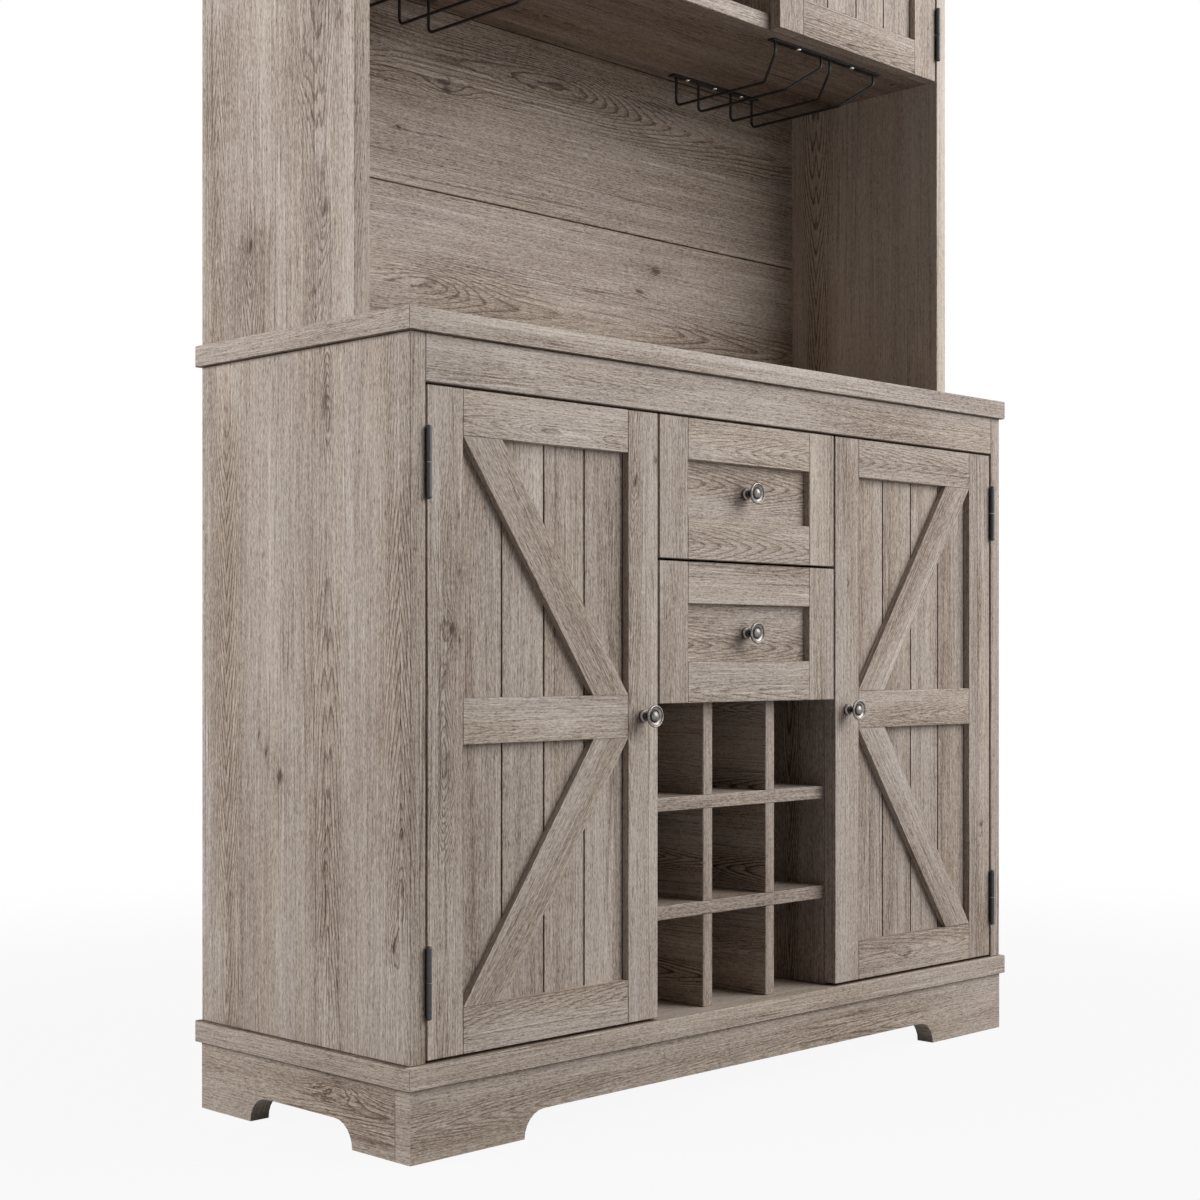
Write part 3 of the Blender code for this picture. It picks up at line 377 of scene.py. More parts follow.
def oak(name, box, grain, face, seed, knots=(), figure=1.0, tone=0.0, planks=None, groove=0.0018, ring=0.0032,
        spread=0.016, hearts=(), taper=None, seam=False, pale_streak=None, dark_below=0.0, dark_behind=None,
        stains=(), warm=0.0, end_grain="Y", end_joint=False):
    """Oak for one board: box is its lowest and highest corner, seed where it was cut from the log."""
    low, high = Vector(box[0]), Vector(box[1])
    turn = grain_turn(grain, face)
    centre = turn @ ((low + high) / 2)
    offset = Vector((LOG_STEP * seed, 0.0, 0.0)) - centre
    material, tree, shader = new_material(name)
    coordinates = node(tree, "ShaderNodeTexCoord").outputs
    placing = (("Vector", coordinates["Object"]), ("Location", offset), ("Rotation", turn.to_euler()))
    on_face = node(tree, "ShaderNodeMapping", placing).outputs[0]
    parts = split(tree, on_face)
    luck = Random(round(seed * 10))
    if taper is None:
        taper = luck.choice((-1, 1)) * luck.uniform(14.0, 34.0)
    clear, marks = 0.0, []

    # how far it is to the heart of the log: one in each plank, or those given for a board, or some by chance
    if planks:
        first_edge, plank_width = planks[0] - centre.y, planks[1]
        from_start = over(tree, minus(tree, parts["Y"], first_edge), plank_width)
        number = maths(tree, "FLOOR", from_start)
        in_plank = times(tree, minus(tree, maths(tree, "FRACT", from_start), 0.5), plank_width)
        on_face = joined(
            tree, plus(tree, parts["X"], times(tree, number, PLANK_STEP_ALONG)),
            plus(tree, in_plank, times(tree, number, PLANK_STEP_ACROSS)), parts["Z"],
        )
        cut = (("W", plus(tree, number, round(seed * 7))),)
        own = node(tree, "ShaderNodeTexWhiteNoise", cut, noise_dimensions="1D")
        chance = node(tree, "ShaderNodeSeparateColor", (("Color", own.outputs["Color"]),)).outputs
        across = plus(tree, in_plank, times(tree, minus(tree, chance["Red"], 0.5), HEART_WANDER * plank_width))
        tone = plus(tree, times(tree, minus(tree, chance["Green"], 0.5), PLANK_TONES), tone)
        # painted shade darkens the grooves between the planks
        from_groove = minus(tree, from_start, maths(tree, "ROUND", from_start))
        from_groove = times(tree, size_of(tree, from_groove), plank_width)
        marks.append(between(tree, from_groove, groove, 0.55 * groove, 0.0, 0.9))
    else:
        turned = [turn @ Vector(heart[:3]) for heart in hearts]
        half_width = abs((turn @ (high - low)).y) / 2
        places = [heart.y - centre.y for heart in turned] or chance_hearts(luck, half_width)
        clear = clear_zones(tree, parts, hearts, places, [heart.x + offset.x for heart in turned])
        if not isinstance(taper, float):
            taper = taper_by_heart(tree, parts, places, taper)
        across = from_heart(tree, parts, places[0])
        for place in places[1:]:
            across = maths(tree, "MINIMUM", size_of(tree, across), size_of(tree, from_heart(tree, parts, place)))

    # the ends are lipped with a strip whose grain runs along the edge, and long edges show straight grain
    over_end = "Z" if end_grain == "Y" else "Y"
    on_end = joined(tree, parts[end_grain], plus(tree, parts[over_end], END_FROM_HEART), 0.01)
    at_end = looks(tree, size_of(tree, facing(tree, coordinates, turn[0])))
    at_edge = looks(tree, size_of(tree, facing(tree, coordinates, turn[1])))
    ways = ((0, at_end), (4, on_face), (5, on_end))
    vector = node(tree, "ShaderNodeMix", ways, data_type="VECTOR").outputs[1]
    sides = ((0, at_edge), (2, plus(tree, across, at_end)), (3, plus(tree, parts["Z"], EDGE_FROM_HEART)))
    across = node(tree, "ShaderNodeMix", sides, data_type="FLOAT").outputs[0]

    # painted highlight along the upper part of the front edge
    if pale_streak:
        tone = plus(tree, sapwood(tree, coordinates, *pale_streak), tone)
    # painted shade in the gap under the doors
    if dark_behind:
        tone = plus(tree, stain_under_doors(tree, coordinates, *dark_behind), tone)
    if dark_below:
        # the underside is darkened: painted shade under the overhang
        tone = plus(tree, times(tree, looks(tree, facing(tree, coordinates, (0, 0, -1))), -dark_below), tone)
    # painted shadows of the knobs
    for stain in stains:
        tone = plus(tree, hand_mark(tree, coordinates, *stain), tone)

    lifts = []
    for knot_place, size, dark, stretch in knots:
        middle = turn @ Vector(knot_place) + offset
        if planks:
            plank, share = divmod((middle.y - first_edge) / plank_width, 1)
            middle.x += plank * PLANK_STEP_ALONG
            middle.y = (share - 0.5) * plank_width + plank * PLANK_STEP_ACROSS
        inputs = (("Vector", vector), ("Centre", middle), ("Size", size), ("Dark", dark), ("Stretch", stretch))
        knot = node(tree, "ShaderNodeGroup", inputs, node_tree=OAK_KNOT).outputs
        lifts.append(knot["Lift"])
        marks.append(knot["Core"])

    to_middle = vector_maths(tree, "SUBTRACT", coordinates["Object"], (low + high) / 2)
    reach = (("Vector", to_middle), ("Half", (high - low) / 2))
    wear = node(tree, "ShaderNodeGroup", reach, node_tree=ARRIS_WEAR).outputs
    # frame boards get the dark edge line, part dark joint and part painted shade; other boards the paler wear
    edges = {"Seam": wear["Seam"]} if seam else {"Wear": wear["Wear"]}
    if end_joint:
        # a fine dark line where the board's end meets the side board behind it
        depth = split(tree, coordinates["Object"])["Y"]
        edges = {"Seam": times(tree, between(tree, depth, high.y - 0.0016, high.y - 0.0008), at_end)}
    # warm gives the lime a warmer tint; on the low boards and the hutch back it is painted warm bounce light
    figured = node(tree, "ShaderNodeGroup", {
        "Vector": vector, "Across": across, "Lift": plus(tree, *lifts) if lifts else 0.0,
        "Knot": highest(tree, *marks) if marks else 0.0, "Figure": figure, "Clear": clear, "Ring": ring,
        "Spread": spread, "Taper": taper, "Tone": tone, "Warm": warm, **edges,
    }, node_tree=OAK_FIGURE).outputs

    dress(tree, shader, figured["Color"], figured["Roughness"], figured["Height"], 0.35, 0.0004)
    shader.inputs["Specular IOR Level"].default_value = 0.32
    return material


def veneer(node_name, grain, face, seed, **more):
    """Gives a board of the model its own cut of oak."""
    material = oak(node_name + "_oak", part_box(node_name), grain, face, seed, **more)
    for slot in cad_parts[node_name].material_slots:
        slot.material = material


def knots_on(axis, level, *rows):
    """Knots on a face square to an axis: two places on it, size, darkness and how round the eye is."""
    knots = []
    for first, second, size, dark, stretch in rows:
        place = (level, first, second) if axis == "x" else (first, level, second)
        knots.append((place, size, dark, stretch))
    return tuple(knots)


# Plinth
# Four boards on edge, each cut to an arch between two feet. They stand on the floor
# and are glued up square under the base board, the front one lapping the sides.

# The warmer tint of the plinth boards, and plinth_left's darker tone, are painted light: the warmer, dimmer light near
# the floor.
veneer("plinth_front", "x", "y", 1.0, figure=0.8, warm=0.12, end_grain="Z", end_joint=True)
veneer("plinth_left", "y", "x", 2.0, figure=1.2, tone=-0.03, warm=0.16,
       knots=knots_on("x", -0.562, (-0.060, 0.070, 0.0090, 0.3, 0.3)))
veneer("plinth_right", "y", "x", 3.0, figure=0.9)
veneer("plinth_back", "x", "y", 4.0, figure=0.6)

# Base case
# Side panels and two inner partitions stand on the base board and carry the top
# rail and the countertop. All are square-edged boards with a slight arris.

SIDE_FACE = -0.559

# The base board and the countertop get painted shade on their undersides.
veneer("base_board", "x", "z", 5.0, figure=0.8, dark_below=0.30, dark_behind=(-0.1863, 0.171), warm=0.10)
veneer("countertop", "x", "z", 6.0, figure=0.9, pale_streak=(0.9066, -0.50, 0.20), tone=-0.01, dark_below=0.30)
veneer(
    "base_side_left", "z", "x", 7.3, figure=1.0, warm=0.05, ring=0.0044, spread=0.024, taper=(30.0, 26.0, -34.0),
    hearts=((SIDE_FACE, -0.171, 0.570, 0.20), (SIDE_FACE, -0.044, 0.310, 0.12), (SIDE_FACE, 0.152, 0.520, 0.36)),
    knots=knots_on(
        "x", SIDE_FACE, (0.0454, 0.405, 0.0080, 1.0, 0.3), (0.0863, 0.452, 0.0030, 0.9, 0.35),
        (0.0720, 0.432, 0.0036, 0.9, 0.35), (-0.1734, 0.351, 0.0040, 0.9, 0.35), (-0.1734, 0.291, 0.0065, 0.6, 0.3),
        (-0.1600, 0.231, 0.0065, 0.8, 0.35), (-0.0371, 0.306, 0.0040, 0.5, 0.3), (-0.0400, 0.830, 0.0085, 0.55, 0.25),
        (-0.0470, 0.808, 0.0040, 0.6, 0.25),
    ),
)
veneer("base_side_right", "z", "x", 8.0)
veneer("base_partition_left", "z", "x", 9.0, figure=1.5, tone=-0.12)
veneer("base_partition_right", "z", "x", 10.0, figure=1.5, tone=-0.12)
veneer("base_top_rail", "x", "y", 11.0, figure=0.5)
veneer("base_back", "x", "y", 12.0, figure=0.6, tone=-0.08)
veneer("drawer_bay_floor", "x", "z", 13.0, figure=0.6, tone=-0.05)

# Wine rack
# Two shelves and two dividers of the same board, halved into each other into nine
# cells, pushed in between the partitions as one crate.

for number in (1, 2):
    veneer(f"rack_shelf_{number}", "x", "z", 13.0 + number, figure=1.0, tone=-0.04)
    veneer(f"rack_divider_{number}", "y", "x", 15.0 + number, figure=1.7, tone=-0.05)

# Hutch case
# Two sides stand on the countertop and hold the plank back, the bottom of the upper
# cupboard, two partitions, a top rail and the top board.

veneer(
    "hutch_side_left", "z", "x", 18.0, figure=0.88, ring=0.0042, spread=0.024, taper=(26.0, -30.0, -30.0),
    hearts=((SIDE_FACE, 0.169, 1.220, 0.10), (SIDE_FACE, 0.103, 0.995, 0.06), (SIDE_FACE, -0.028, 1.220, 0.12)),
    knots=knots_on(
        "x", SIDE_FACE, (0.1031, 1.022, 0.0070, 0.7, 0.3), (-0.0410, 1.045, 0.0090, 0.45, 0.3),
        (-0.0651, 1.255, 0.0060, 0.6, 0.3), (-0.0185, 0.954, 0.0060, 0.35, 0.25), (0.0252, 1.213, 0.0150, 0.18, 0.3),
        (0.0120, 1.375, 0.0120, 0.2, 0.15), (-0.0360, 1.400, 0.0050, 0.7, 0.3),
    ),
)
# Its raised tone lightens this inner side, which lies in shade: painted light.
veneer("hutch_side_right", "z", "x", 19.0, hearts=((0.5375, 0.137, 1.23, 0.34), (0.5375, -0.160, 1.20)), taper=-24.0,
       tone=0.18, ring=0.0042, spread=0.021, figure=1.35)
veneer("hutch_partition_left", "z", "x", 20.0)
veneer("hutch_partition_right", "z", "x", 21.0)
# The hutch bottom's underside is darkened with painted shade.
veneer("hutch_bottom", "x", "z", 22.0, dark_below=0.19)
veneer("hutch_top_rail", "x", "y", 23.0)
veneer("hutch_top_board", "x", "z", 24.0)
# The back's darker tone is partly its own colour and partly painted shade of the sides; its warmer tint is painted warm
# bounce light.
veneer(
    "hutch_back", "x", "y", 25.0, planks=(-1.1584, 0.2422), groove=0.0010, ring=0.0052, spread=0.040, taper=15.0,
    figure=0.95, tone=-0.045, warm=0.06,
    knots=knots_on(
        "y", 0.185, (-0.186, 1.297, 0.0080, 0.9, 0.3), (-0.270, 1.232, 0.0040, 0.9, 0.3),
        (0.220, 1.112, 0.0085, 0.8, 0.3), (0.184, 1.077, 0.0060, 0.7, 0.3), (-0.212, 1.038, 0.0100, 0.4, 0.25),
        (0.020, 1.350, 0.0150, 0.15, 0.15),
    ),
)

# Shelves inside the base
# One loose board behind each lower door, lying on four turned steel pins that are
# pushed into the holes of the side and the partition.

SHELF_THICKNESS = 0.016
PIN_RADIUS = 0.0025
PIN_LENGTH = 0.017
PIN_IN_HOLE = 0.008
PIN_FROM_EDGE = 0.050


def new_object(name, data):
    made = bpy.data.objects.new(name, data)
    bpy.context.scene.collection.objects.link(made)
    return made


def object_of(name, solid):
    """The object of a finished bmesh."""
    mesh = bpy.data.meshes.new(name)
    solid.to_mesh(mesh)
    solid.free()
    return new_object(name, mesh)


def shown_piece(name, solid, body, slot_name, material, *replaced):
    """A finished piece, riding on its body."""
    bmesh.ops.recalc_face_normals(solid, faces=solid.faces)
    piece = object_of(name, solid)
    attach(piece, body)
    if replaced:
        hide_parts(*replaced)
    piece.data.materials.append(material)
    return piece


def add_block(solid, low, high):
    low, high = Vector(low), Vector(high)
    place = Matrix.Translation((low + high) / 2) @ Matrix.Diagonal((*(high - low), 1))
    bmesh.ops.create_cube(solid, size=1, matrix=place)


def ease_edges(solid, width):
    bmesh.ops.bevel(
        solid, geom=solid.edges[:], offset=width, segments=2, profile=0.5, affect="EDGES", material=-1,
    )


def board_solid(low, high, arris):
    """A board with its edges eased."""
    solid = bmesh.new()
    add_block(solid, low, high)
    ease_edges(solid, arris)
    return solid


def oak_board(name, low, high, grain, face, seed, body, *replaced, arris=0.0006, **more):
    material = oak(name + "_oak", (low, high), grain, face, seed, **more)
    shown_piece(name, board_solid(low, high, arris), body, "oak", material, *replaced)


def metal(name, colour, roughness, patina, metallic=1.0):
    """A metal with a patina in patches and a fine grain."""
    material, tree, shader = new_material(name)
    spot = node(tree, "ShaderNodeTexCoord").outputs["Object"]
    patches = noise(tree, spot, (260.0, 260.0, 260.0), 3.0, 0.6)
    fine = noise(tree, spot, (1900.0, 1900.0, 1900.0))
    blend = mix_colours(tree, between(tree, patches, 0.35, 0.65), (*patina, 1), (*colour, 1))
    rough = plus(tree, times(tree, patches, 0.22), roughness - 0.11)
    dress(tree, shader, blend, rough, fine, 0.12, 0.0001)
    shader.inputs["Metallic"].default_value = metallic
    return material


PIN_STEEL = metal("pin_steel", (0.62, 0.61, 0.59), 0.34, (0.42, 0.41, 0.39))

for side_name, side in (("left", -1), ("right", 1)):
    shelf_name = "base_shelf_" + side_name
    low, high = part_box(shelf_name)
    board_low = (low.x + PIN_IN_HOLE, low.y, high.z - SHELF_THICKNESS)
    board_high = (high.x - PIN_IN_HOLE, high.y, high.z)
    oak_board("shelf_board_" + side_name, board_low, board_high, "x", "z", 26.0 + side, "cabinet", shelf_name,
              tone=-0.03)
    pins = bmesh.new()
    for pin_x, inward in ((low.x, 1), (high.x, -1)):
        for pin_y in (low.y + PIN_FROM_EDGE, high.y - PIN_FROM_EDGE):
            place = Matrix.Translation((pin_x + inward * PIN_LENGTH / 2, pin_y, low.z + PIN_RADIUS))
            bmesh.ops.create_cone(
                pins, cap_ends=True, segments=20, radius1=PIN_RADIUS, radius2=PIN_RADIUS, depth=PIN_LENGTH,
                matrix=place @ Matrix.Rotation(pi / 2, 4, "Y"),
            )
    shown_piece("shelf_pins_" + side_name, pins, "cabinet", "pewter", PIN_STEEL)

# Doors
# A frame of two stiles and two rails holds a panel of four grooved planks. The
# lower doors have a middle rail and two slanting braces, flush with the frame.

FRAME_WIDTH = 0.051
FRAME_DEPTH = 0.018
PANEL_DROP = 0.009
TONGUE = 0.0075
BRACE_CUT = 0.058
BRACE_DEPTH = PANEL_DROP - 0.0003
SEAM = 0.00015
# where and how large the painted shadow beside each knob is
STAIN_ASIDE = 0.011
STAIN_BELOW = 0.002
STAIN_WIDTH = 0.017
STAIN_HEIGHT = 0.026


def beside_knob(body):
    """Where a knob's painted shadow lies: by its foot, to the left of it and a little below."""
    low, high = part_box(body + "_knob")
    place = ((low.x + high.x) / 2 - STAIN_ASIDE, high.y, (low.z + high.z) / 2 - STAIN_BELOW)
    return place, STAIN_WIDTH, STAIN_HEIGHT


def lies_on(x, z, low, high):
    """Whether a place on a front lies on the piece between two corners."""
    return low[0] <= x <= high[0] and low[2] <= z <= high[2]


def framed(name, panel, body, replaced, seed, knots=(), tone=0.0, figure=0.45):
    """Two stiles and the two rails between them, round a panel."""
    low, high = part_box(panel)
    reach = FRAME_WIDTH - TONGUE
    left, right = low.x - reach, high.x + reach
    bottom, top = low.z - reach, high.z + reach
    front = low.y - PANEL_DROP
    back = front + FRAME_DEPTH
    inner_left, inner_right = left + FRAME_WIDTH, right - FRAME_WIDTH
    pieces = (
        ("stile_left", (left, front, bottom), (inner_left, back, top), "z"),
        ("stile_right", (inner_right, front, bottom), (right, back, top), "z"),
        ("rail_bottom", (inner_left + SEAM, front, bottom), (inner_right - SEAM, back, bottom + FRAME_WIDTH), "x"),
        ("rail_top", (inner_left + SEAM, front, top - FRAME_WIDTH), (inner_right - SEAM, back, top), "x"),
    )
    stain = beside_knob(body)
    stain_x, _, stain_z = stain[0]
    for number, (part, start, end, grain) in enumerate(pieces):
        looks_of = {"figure": figure} if grain == "z" else {"figure": 0.85, "ring": 0.0042, "spread": 0.020}
        oak_board(
            name + "_" + part, start, end, grain, "y", seed + 1.7 * number, body, *((replaced,) if number == 0 else ()),
            arris=0.0005, seam=True, tone=tone, **looks_of,
            knots=[knot for knot in knots if lies_on(knot[0][0], knot[0][2], start, end)],
            stains=(stain,) if lies_on(stain_x + STAIN_ASIDE, stain_z, start, end) else (),
        )
    return inner_left, inner_right, bottom + FRAME_WIDTH, top - FRAME_WIDTH, front


def brace_board(name, corners, front, body, seed):
    """A slanting board cut level at both ends."""
    solid = bmesh.new()
    face = solid.faces.new([solid.verts.new((x, front, z)) for x, z in corners])
    grown = bmesh.ops.extrude_face_region(solid, geom=[face])
    moved = [part for part in grown["geom"] if isinstance(part, bmesh.types.BMVert)]
    bmesh.ops.translate(solid, verts=moved, vec=(0, BRACE_DEPTH, 0))
    ease_edges(solid, 0.0004)
    xs, zs = zip(*corners)
    slope = Vector((xs[2] - xs[1], 0, zs[2] - zs[1]))
    box = ((min(xs), front, min(zs)), (max(xs), front + BRACE_DEPTH, max(zs)))
    shown_piece(name, solid, body, "oak", oak(name + "_oak", box, slope, "y", seed, figure=0.45))


def braced(name, side, body, seed, inner_left, inner_right, bottom, top, front):
    """The middle rail, and braces from its free-edge end to the corners at the hinges."""
    middle = (bottom + top) / 2
    rail_low, rail_high = middle - FRAME_WIDTH / 2, middle + FRAME_WIDTH / 2
    start = (inner_left + SEAM, front, rail_low)
    end = (inner_right - SEAM, front + BRACE_DEPTH, rail_high)
    oak_board(name + "_middle_rail", start, end, "x", "y", seed, body, body + "_braces", arris=0.0004, seam=True,
              figure=0.5, tone=0.06 if side < 0 else 0.01)
    free, hinged = (inner_right, inner_left) if side < 0 else (inner_left, inner_right)
    free += side * SEAM
    hinged -= side * SEAM
    cut = side * BRACE_CUT
    for place, corner_z, rail_z, step in (
        ("upper", top - SEAM, rail_high + SEAM, 2.3),
        ("lower", bottom + SEAM, rail_low - SEAM, 4.1),
    ):
        corners = ((hinged, corner_z), (hinged - cut, corner_z), (free, rail_z), (free + cut, rail_z))
        brace_board(f"{name}_{place}_brace", corners, front, body, seed + step)


def plank_panel(panel, seed):
    """Four planks with their own cuts of oak."""
    low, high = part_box(panel)
    start = low.x + TONGUE
    width = (high.x - low.x - 2 * TONGUE) / 4
    veneer(panel, "z", "y", seed, planks=(start, width), figure=0.4)


DOOR_KNOTS = {
    "lower_left_door": knots_on(
        "y", -0.187, (-0.4990, 0.572, 0.0070, 0.95, 0.45), (-0.4880, 0.559, 0.0030, 0.9, 0.35),
        (-0.5088, 0.524, 0.0028, 0.8, 0.35), (-0.5074, 0.425, 0.0150, 0.28, 0.35),
        (-0.4895, 0.697, 0.0040, 0.45, 0.3), (-0.4890, 0.635, 0.0060, 0.40, 0.25),
    ) + knots_on(
        "y", -0.186, (-0.2103, 0.753, 0.0060, 0.8, 0.28), (-0.1760, 0.778, 0.0040, 0.7, 0.3),
        (-0.3583, 0.800, 0.0060, 0.35, 0.25), (-0.2450, 0.795, 0.0050, 0.45, 0.2),
    ),
    "lower_right_door": knots_on(
        "y", -0.186, (0.2010, 0.640, 0.0040, 0.7, 0.3), (0.3300, 0.128, 0.0050, 0.5, 0.25),
        (0.5150, 0.300, 0.0045, 0.7, 0.3),
    ),
}

for level in ("lower", "upper"):
    for side_name, side in (("left", -1), ("right", 1)):
        door = f"{level}_{side_name}_door"
        seed = 30.0 + 11 * side + (5 if level == "upper" else 0)
        tone, figure = (0.045, 0.9) if side < 0 else (0.01, 0.6)
        opening = framed(door, door + "_panel", door, door + "_frame", seed, DOOR_KNOTS.get(door, ()), tone, figure)
        plank_panel(door + "_panel", seed + 3.3)
        if level == "lower":
            braced(door, side, door, seed + 6.1, *opening)

# Hinges
# Lift-off hinges of black steel. The lower knuckle holds the pin and stays on the
# case, the upper one drops over it and is screwed to the door's edge by its leaf.

HINGE_AXIS = 0.5359
HINGE_HALF = 0.040
BARREL_RADIUS = 0.0032
BARREL_EASE = 0.0001
KNUCKLE_GAP = 0.0006
CAP_RADIUS = 0.0035
CAP_HEIGHT = 0.003
CAP_EASE = 0.0003
CAP_STEPS = 6
LEAF_PLAY = 0.0002
LEAF_THICKNESS = 0.0011
LEAF_HALF = 0.0362
LEAF_REACH = (0.0042, 0.0194)
NECK_REACH = (0.0024, 0.0045)
BLACK_STEEL = metal("black_steel", (0.066, 0.067, 0.071), 0.38, (0.046, 0.046, 0.049), 0.25)


def turned_solid(profile, steps):
    """A profile of radius and height turned about Z."""
    solid = bmesh.new()
    corners = [solid.verts.new((radius, 0, height)) for radius, height in profile]
    edges = [solid.edges.new(pair) for pair in zip(corners, corners[1:])]
    bmesh.ops.spin(
        solid, geom=corners + edges, cent=(0, 0, 0), axis=(0, 0, 1), angle=2 * pi,
        steps=steps, use_merge=True, use_duplicate=False,
    )
    bmesh.ops.remove_doubles(solid, verts=solid.verts, dist=1e-6)
    return solid


def smooth_piece(piece, angle=35):
    piece.data.shade_smooth()
    piece.data.set_sharp_from_angle(angle=radians(angle))


def hinge_knuckle(name, way, place, toward, body, *replaced):
    """Half a barrel with its leaf; way is 1 for the upper half."""
    shoulder = HINGE_HALF - CAP_HEIGHT
    profile = [
        (0, KNUCKLE_GAP), (BARREL_RADIUS - BARREL_EASE, KNUCKLE_GAP), (BARREL_RADIUS, KNUCKLE_GAP + BARREL_EASE),
        (BARREL_RADIUS, shoulder - CAP_EASE), (CAP_RADIUS - CAP_EASE, shoulder), (CAP_RADIUS, shoulder + CAP_EASE),
    ]
    for step in range(1, CAP_STEPS + 1):
        turn = step / CAP_STEPS * pi / 2
        profile.append((CAP_RADIUS * cos(turn), shoulder + CAP_EASE + (CAP_HEIGHT - CAP_EASE) * sin(turn)))
    solid = turned_solid([(radius, way * height) for radius, height in profile], 28)
    neck_low, neck_high = sorted((way * KNUCKLE_GAP, way * LEAF_HALF))
    for (near, far), bottom, top in ((NECK_REACH, neck_low, neck_high), (LEAF_REACH, -LEAF_HALF, LEAF_HALF)):
        add_block(solid, (LEAF_PLAY, near, bottom), (LEAF_PLAY + LEAF_THICKNESS, far, top))
    move = Matrix.Translation(place) @ Matrix.Diagonal((toward, 1, 1, 1))
    bmesh.ops.transform(solid, matrix=move, verts=solid.verts)
    smooth_piece(shown_piece(name, solid, body, "black_metal", BLACK_STEEL, *replaced))


for level in ("lower", "upper"):
    for side_name, side in (("left", -1), ("right", 1)):
        door = f"{level}_{side_name}_door"
        for place_name in ("bottom", "top"):
            case_leaf = f"{door}_{place_name}_hinge"
            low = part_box(case_leaf)[0]
            place = (side * HINGE_AXIS, low.y + CAP_RADIUS, low.z + HINGE_HALF)
            hinge_knuckle(case_leaf + "_lower", -1, place, side, "cabinet", case_leaf)
            hinge_knuckle(case_leaf + "_upper", 1, place, -side, door)

# Knobs
# Cast pewter, turned: a small foot, a narrow neck and a dished head with a raised
# middle. One screw from behind holds each to its stile or drawer front.

KNOB_SHARES = (
    (0.00, 0.925), (0.17, 0.917), (0.31, 0.892), (0.41, 0.850), (0.465, 0.805), (0.475, 0.782),
    (0.50, 0.768), (0.55, 0.766), (0.59, 0.778), (0.63, 0.786), (0.72, 0.806), (0.79, 0.838),
    (0.82, 0.846), (0.85, 0.872), (0.90, 0.884), (0.96, 0.870), (1.00, 0.825), (0.995, 0.780), (0.95, 0.745),
    (0.86, 0.712), (0.72, 0.680), (0.56, 0.645), (0.42, 0.598), (0.32, 0.540), (0.26, 0.470),
    (0.235, 0.390), (0.235, 0.320), (0.26, 0.260), (0.34, 0.215), (0.46, 0.180), (0.54, 0.140),
    (0.57, 0.090), (0.57, 0.040), (0.555, 0.000), (0.00, 0.000),
)
KNOB_TOP = KNOB_SHARES[0][1]


def knob_pewter(name, foot, radius, length):
    """Rubbed pewter, bright on the rim, with dark patina in the turned hollows; the neck under the head, the dome and
    the head's outer edge are darkened as painted shade.
    """
    material = metal(name, (0.285, 0.262, 0.248), 0.37, (0.150, 0.136, 0.126))
    tree = material.node_tree
    colour = tree.nodes["Principled BSDF"].inputs["Base Color"]
    spot = node(tree, "ShaderNodeTexCoord").outputs["Object"]
    sides = split(tree, vector_maths(tree, "SUBTRACT", spot, foot))
    out = vector_maths(tree, "LENGTH", joined(tree, sides["X"], 0.0, sides["Z"]))
    share = over(tree, out, radius)
    height = over(tree, times(tree, sides["Y"], -1.0), length)
    inner = band(tree, share, 0.43, 0.48, 0.57, 0.64)
    outer = times(tree, band(tree, share, 0.77, 0.81, 0.83, 0.87), 0.9)
    hollow = times(tree, highest(tree, inner, outer), between(tree, height, 0.72, 0.76))
    # painted shade: the neck under the head, the dome's middle and the outer edge of the head
    neck = band(tree, height, 0.17, 0.22, 0.70, 0.75)
    dome = times(tree, between(tree, share, 0.46, 0.38, 0.0, 0.18), between(tree, height, 0.76, 0.80))
    edge = times(tree, between(tree, share, 0.95, 0.98, 0.0, 0.8), between(tree, height, 0.86, 0.83))
    # patina in the hollows and painted shade, all towards a near black
    dark = times(tree, highest(tree, hollow, neck, dome, edge), 0.92)
    rubbed = colour.links[0].from_socket
    feed(tree, colour, mix_colours(tree, dark, rubbed, (0.018, 0.014, 0.012, 1)))
    return material


def knob(node_name, body):
    low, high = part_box(node_name)
    radius = (high.x - low.x) / 2
    length = high.y - low.y
    solid = turned_solid([(radius * r, length * z / KNOB_TOP) for r, z in KNOB_SHARES], 48)
    foot = Vector(((low.x + high.x) / 2, high.y, (low.z + high.z) / 2))
    move = Matrix.Translation(foot) @ Matrix.Rotation(pi / 2, 4, "X")
    bmesh.ops.transform(solid, matrix=move, verts=solid.verts)
    pewter = knob_pewter(node_name + "_pewter", foot, radius, length)
    smooth_piece(shown_piece(node_name + "_turned", solid, body, "pewter", pewter, node_name), 50)


for body in (
    "lower_left_door", "lower_right_door", "upper_left_door", "upper_right_door", "lower_drawer", "upper_drawer",
):
    knob(body + "_knob", body)

# Drawers
# A framed front with one plain panel is screwed to a glued-up tray, which hangs on
# two strips by the grooves in its sides.

for number, drawer in enumerate(("lower_drawer", "upper_drawer")):
    front = drawer + "_front"
    seed = 60.0 + 9 * number
    framed(front, front + "_panel", drawer, front + "_frame", seed, tone=0.05)
    low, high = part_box(front + "_panel")
    heart = (0, low.y, low.z + (0.3 + 0.3 * number) * (high.z - low.z))
    veneer(front + "_panel", "x", "y", seed + 3, spread=0.026, ring=0.0034, taper=28.0, hearts=(heart,),
           stains=(beside_knob(drawer),))
    veneer(drawer + "_box", "x", "z", seed + 6, figure=0.5, tone=0.02)

# Glass racks
# Black steel wire bent to two slots with flared mouths, welded at its ends to two
# flat bars that are screwed up under the upper cupboard.

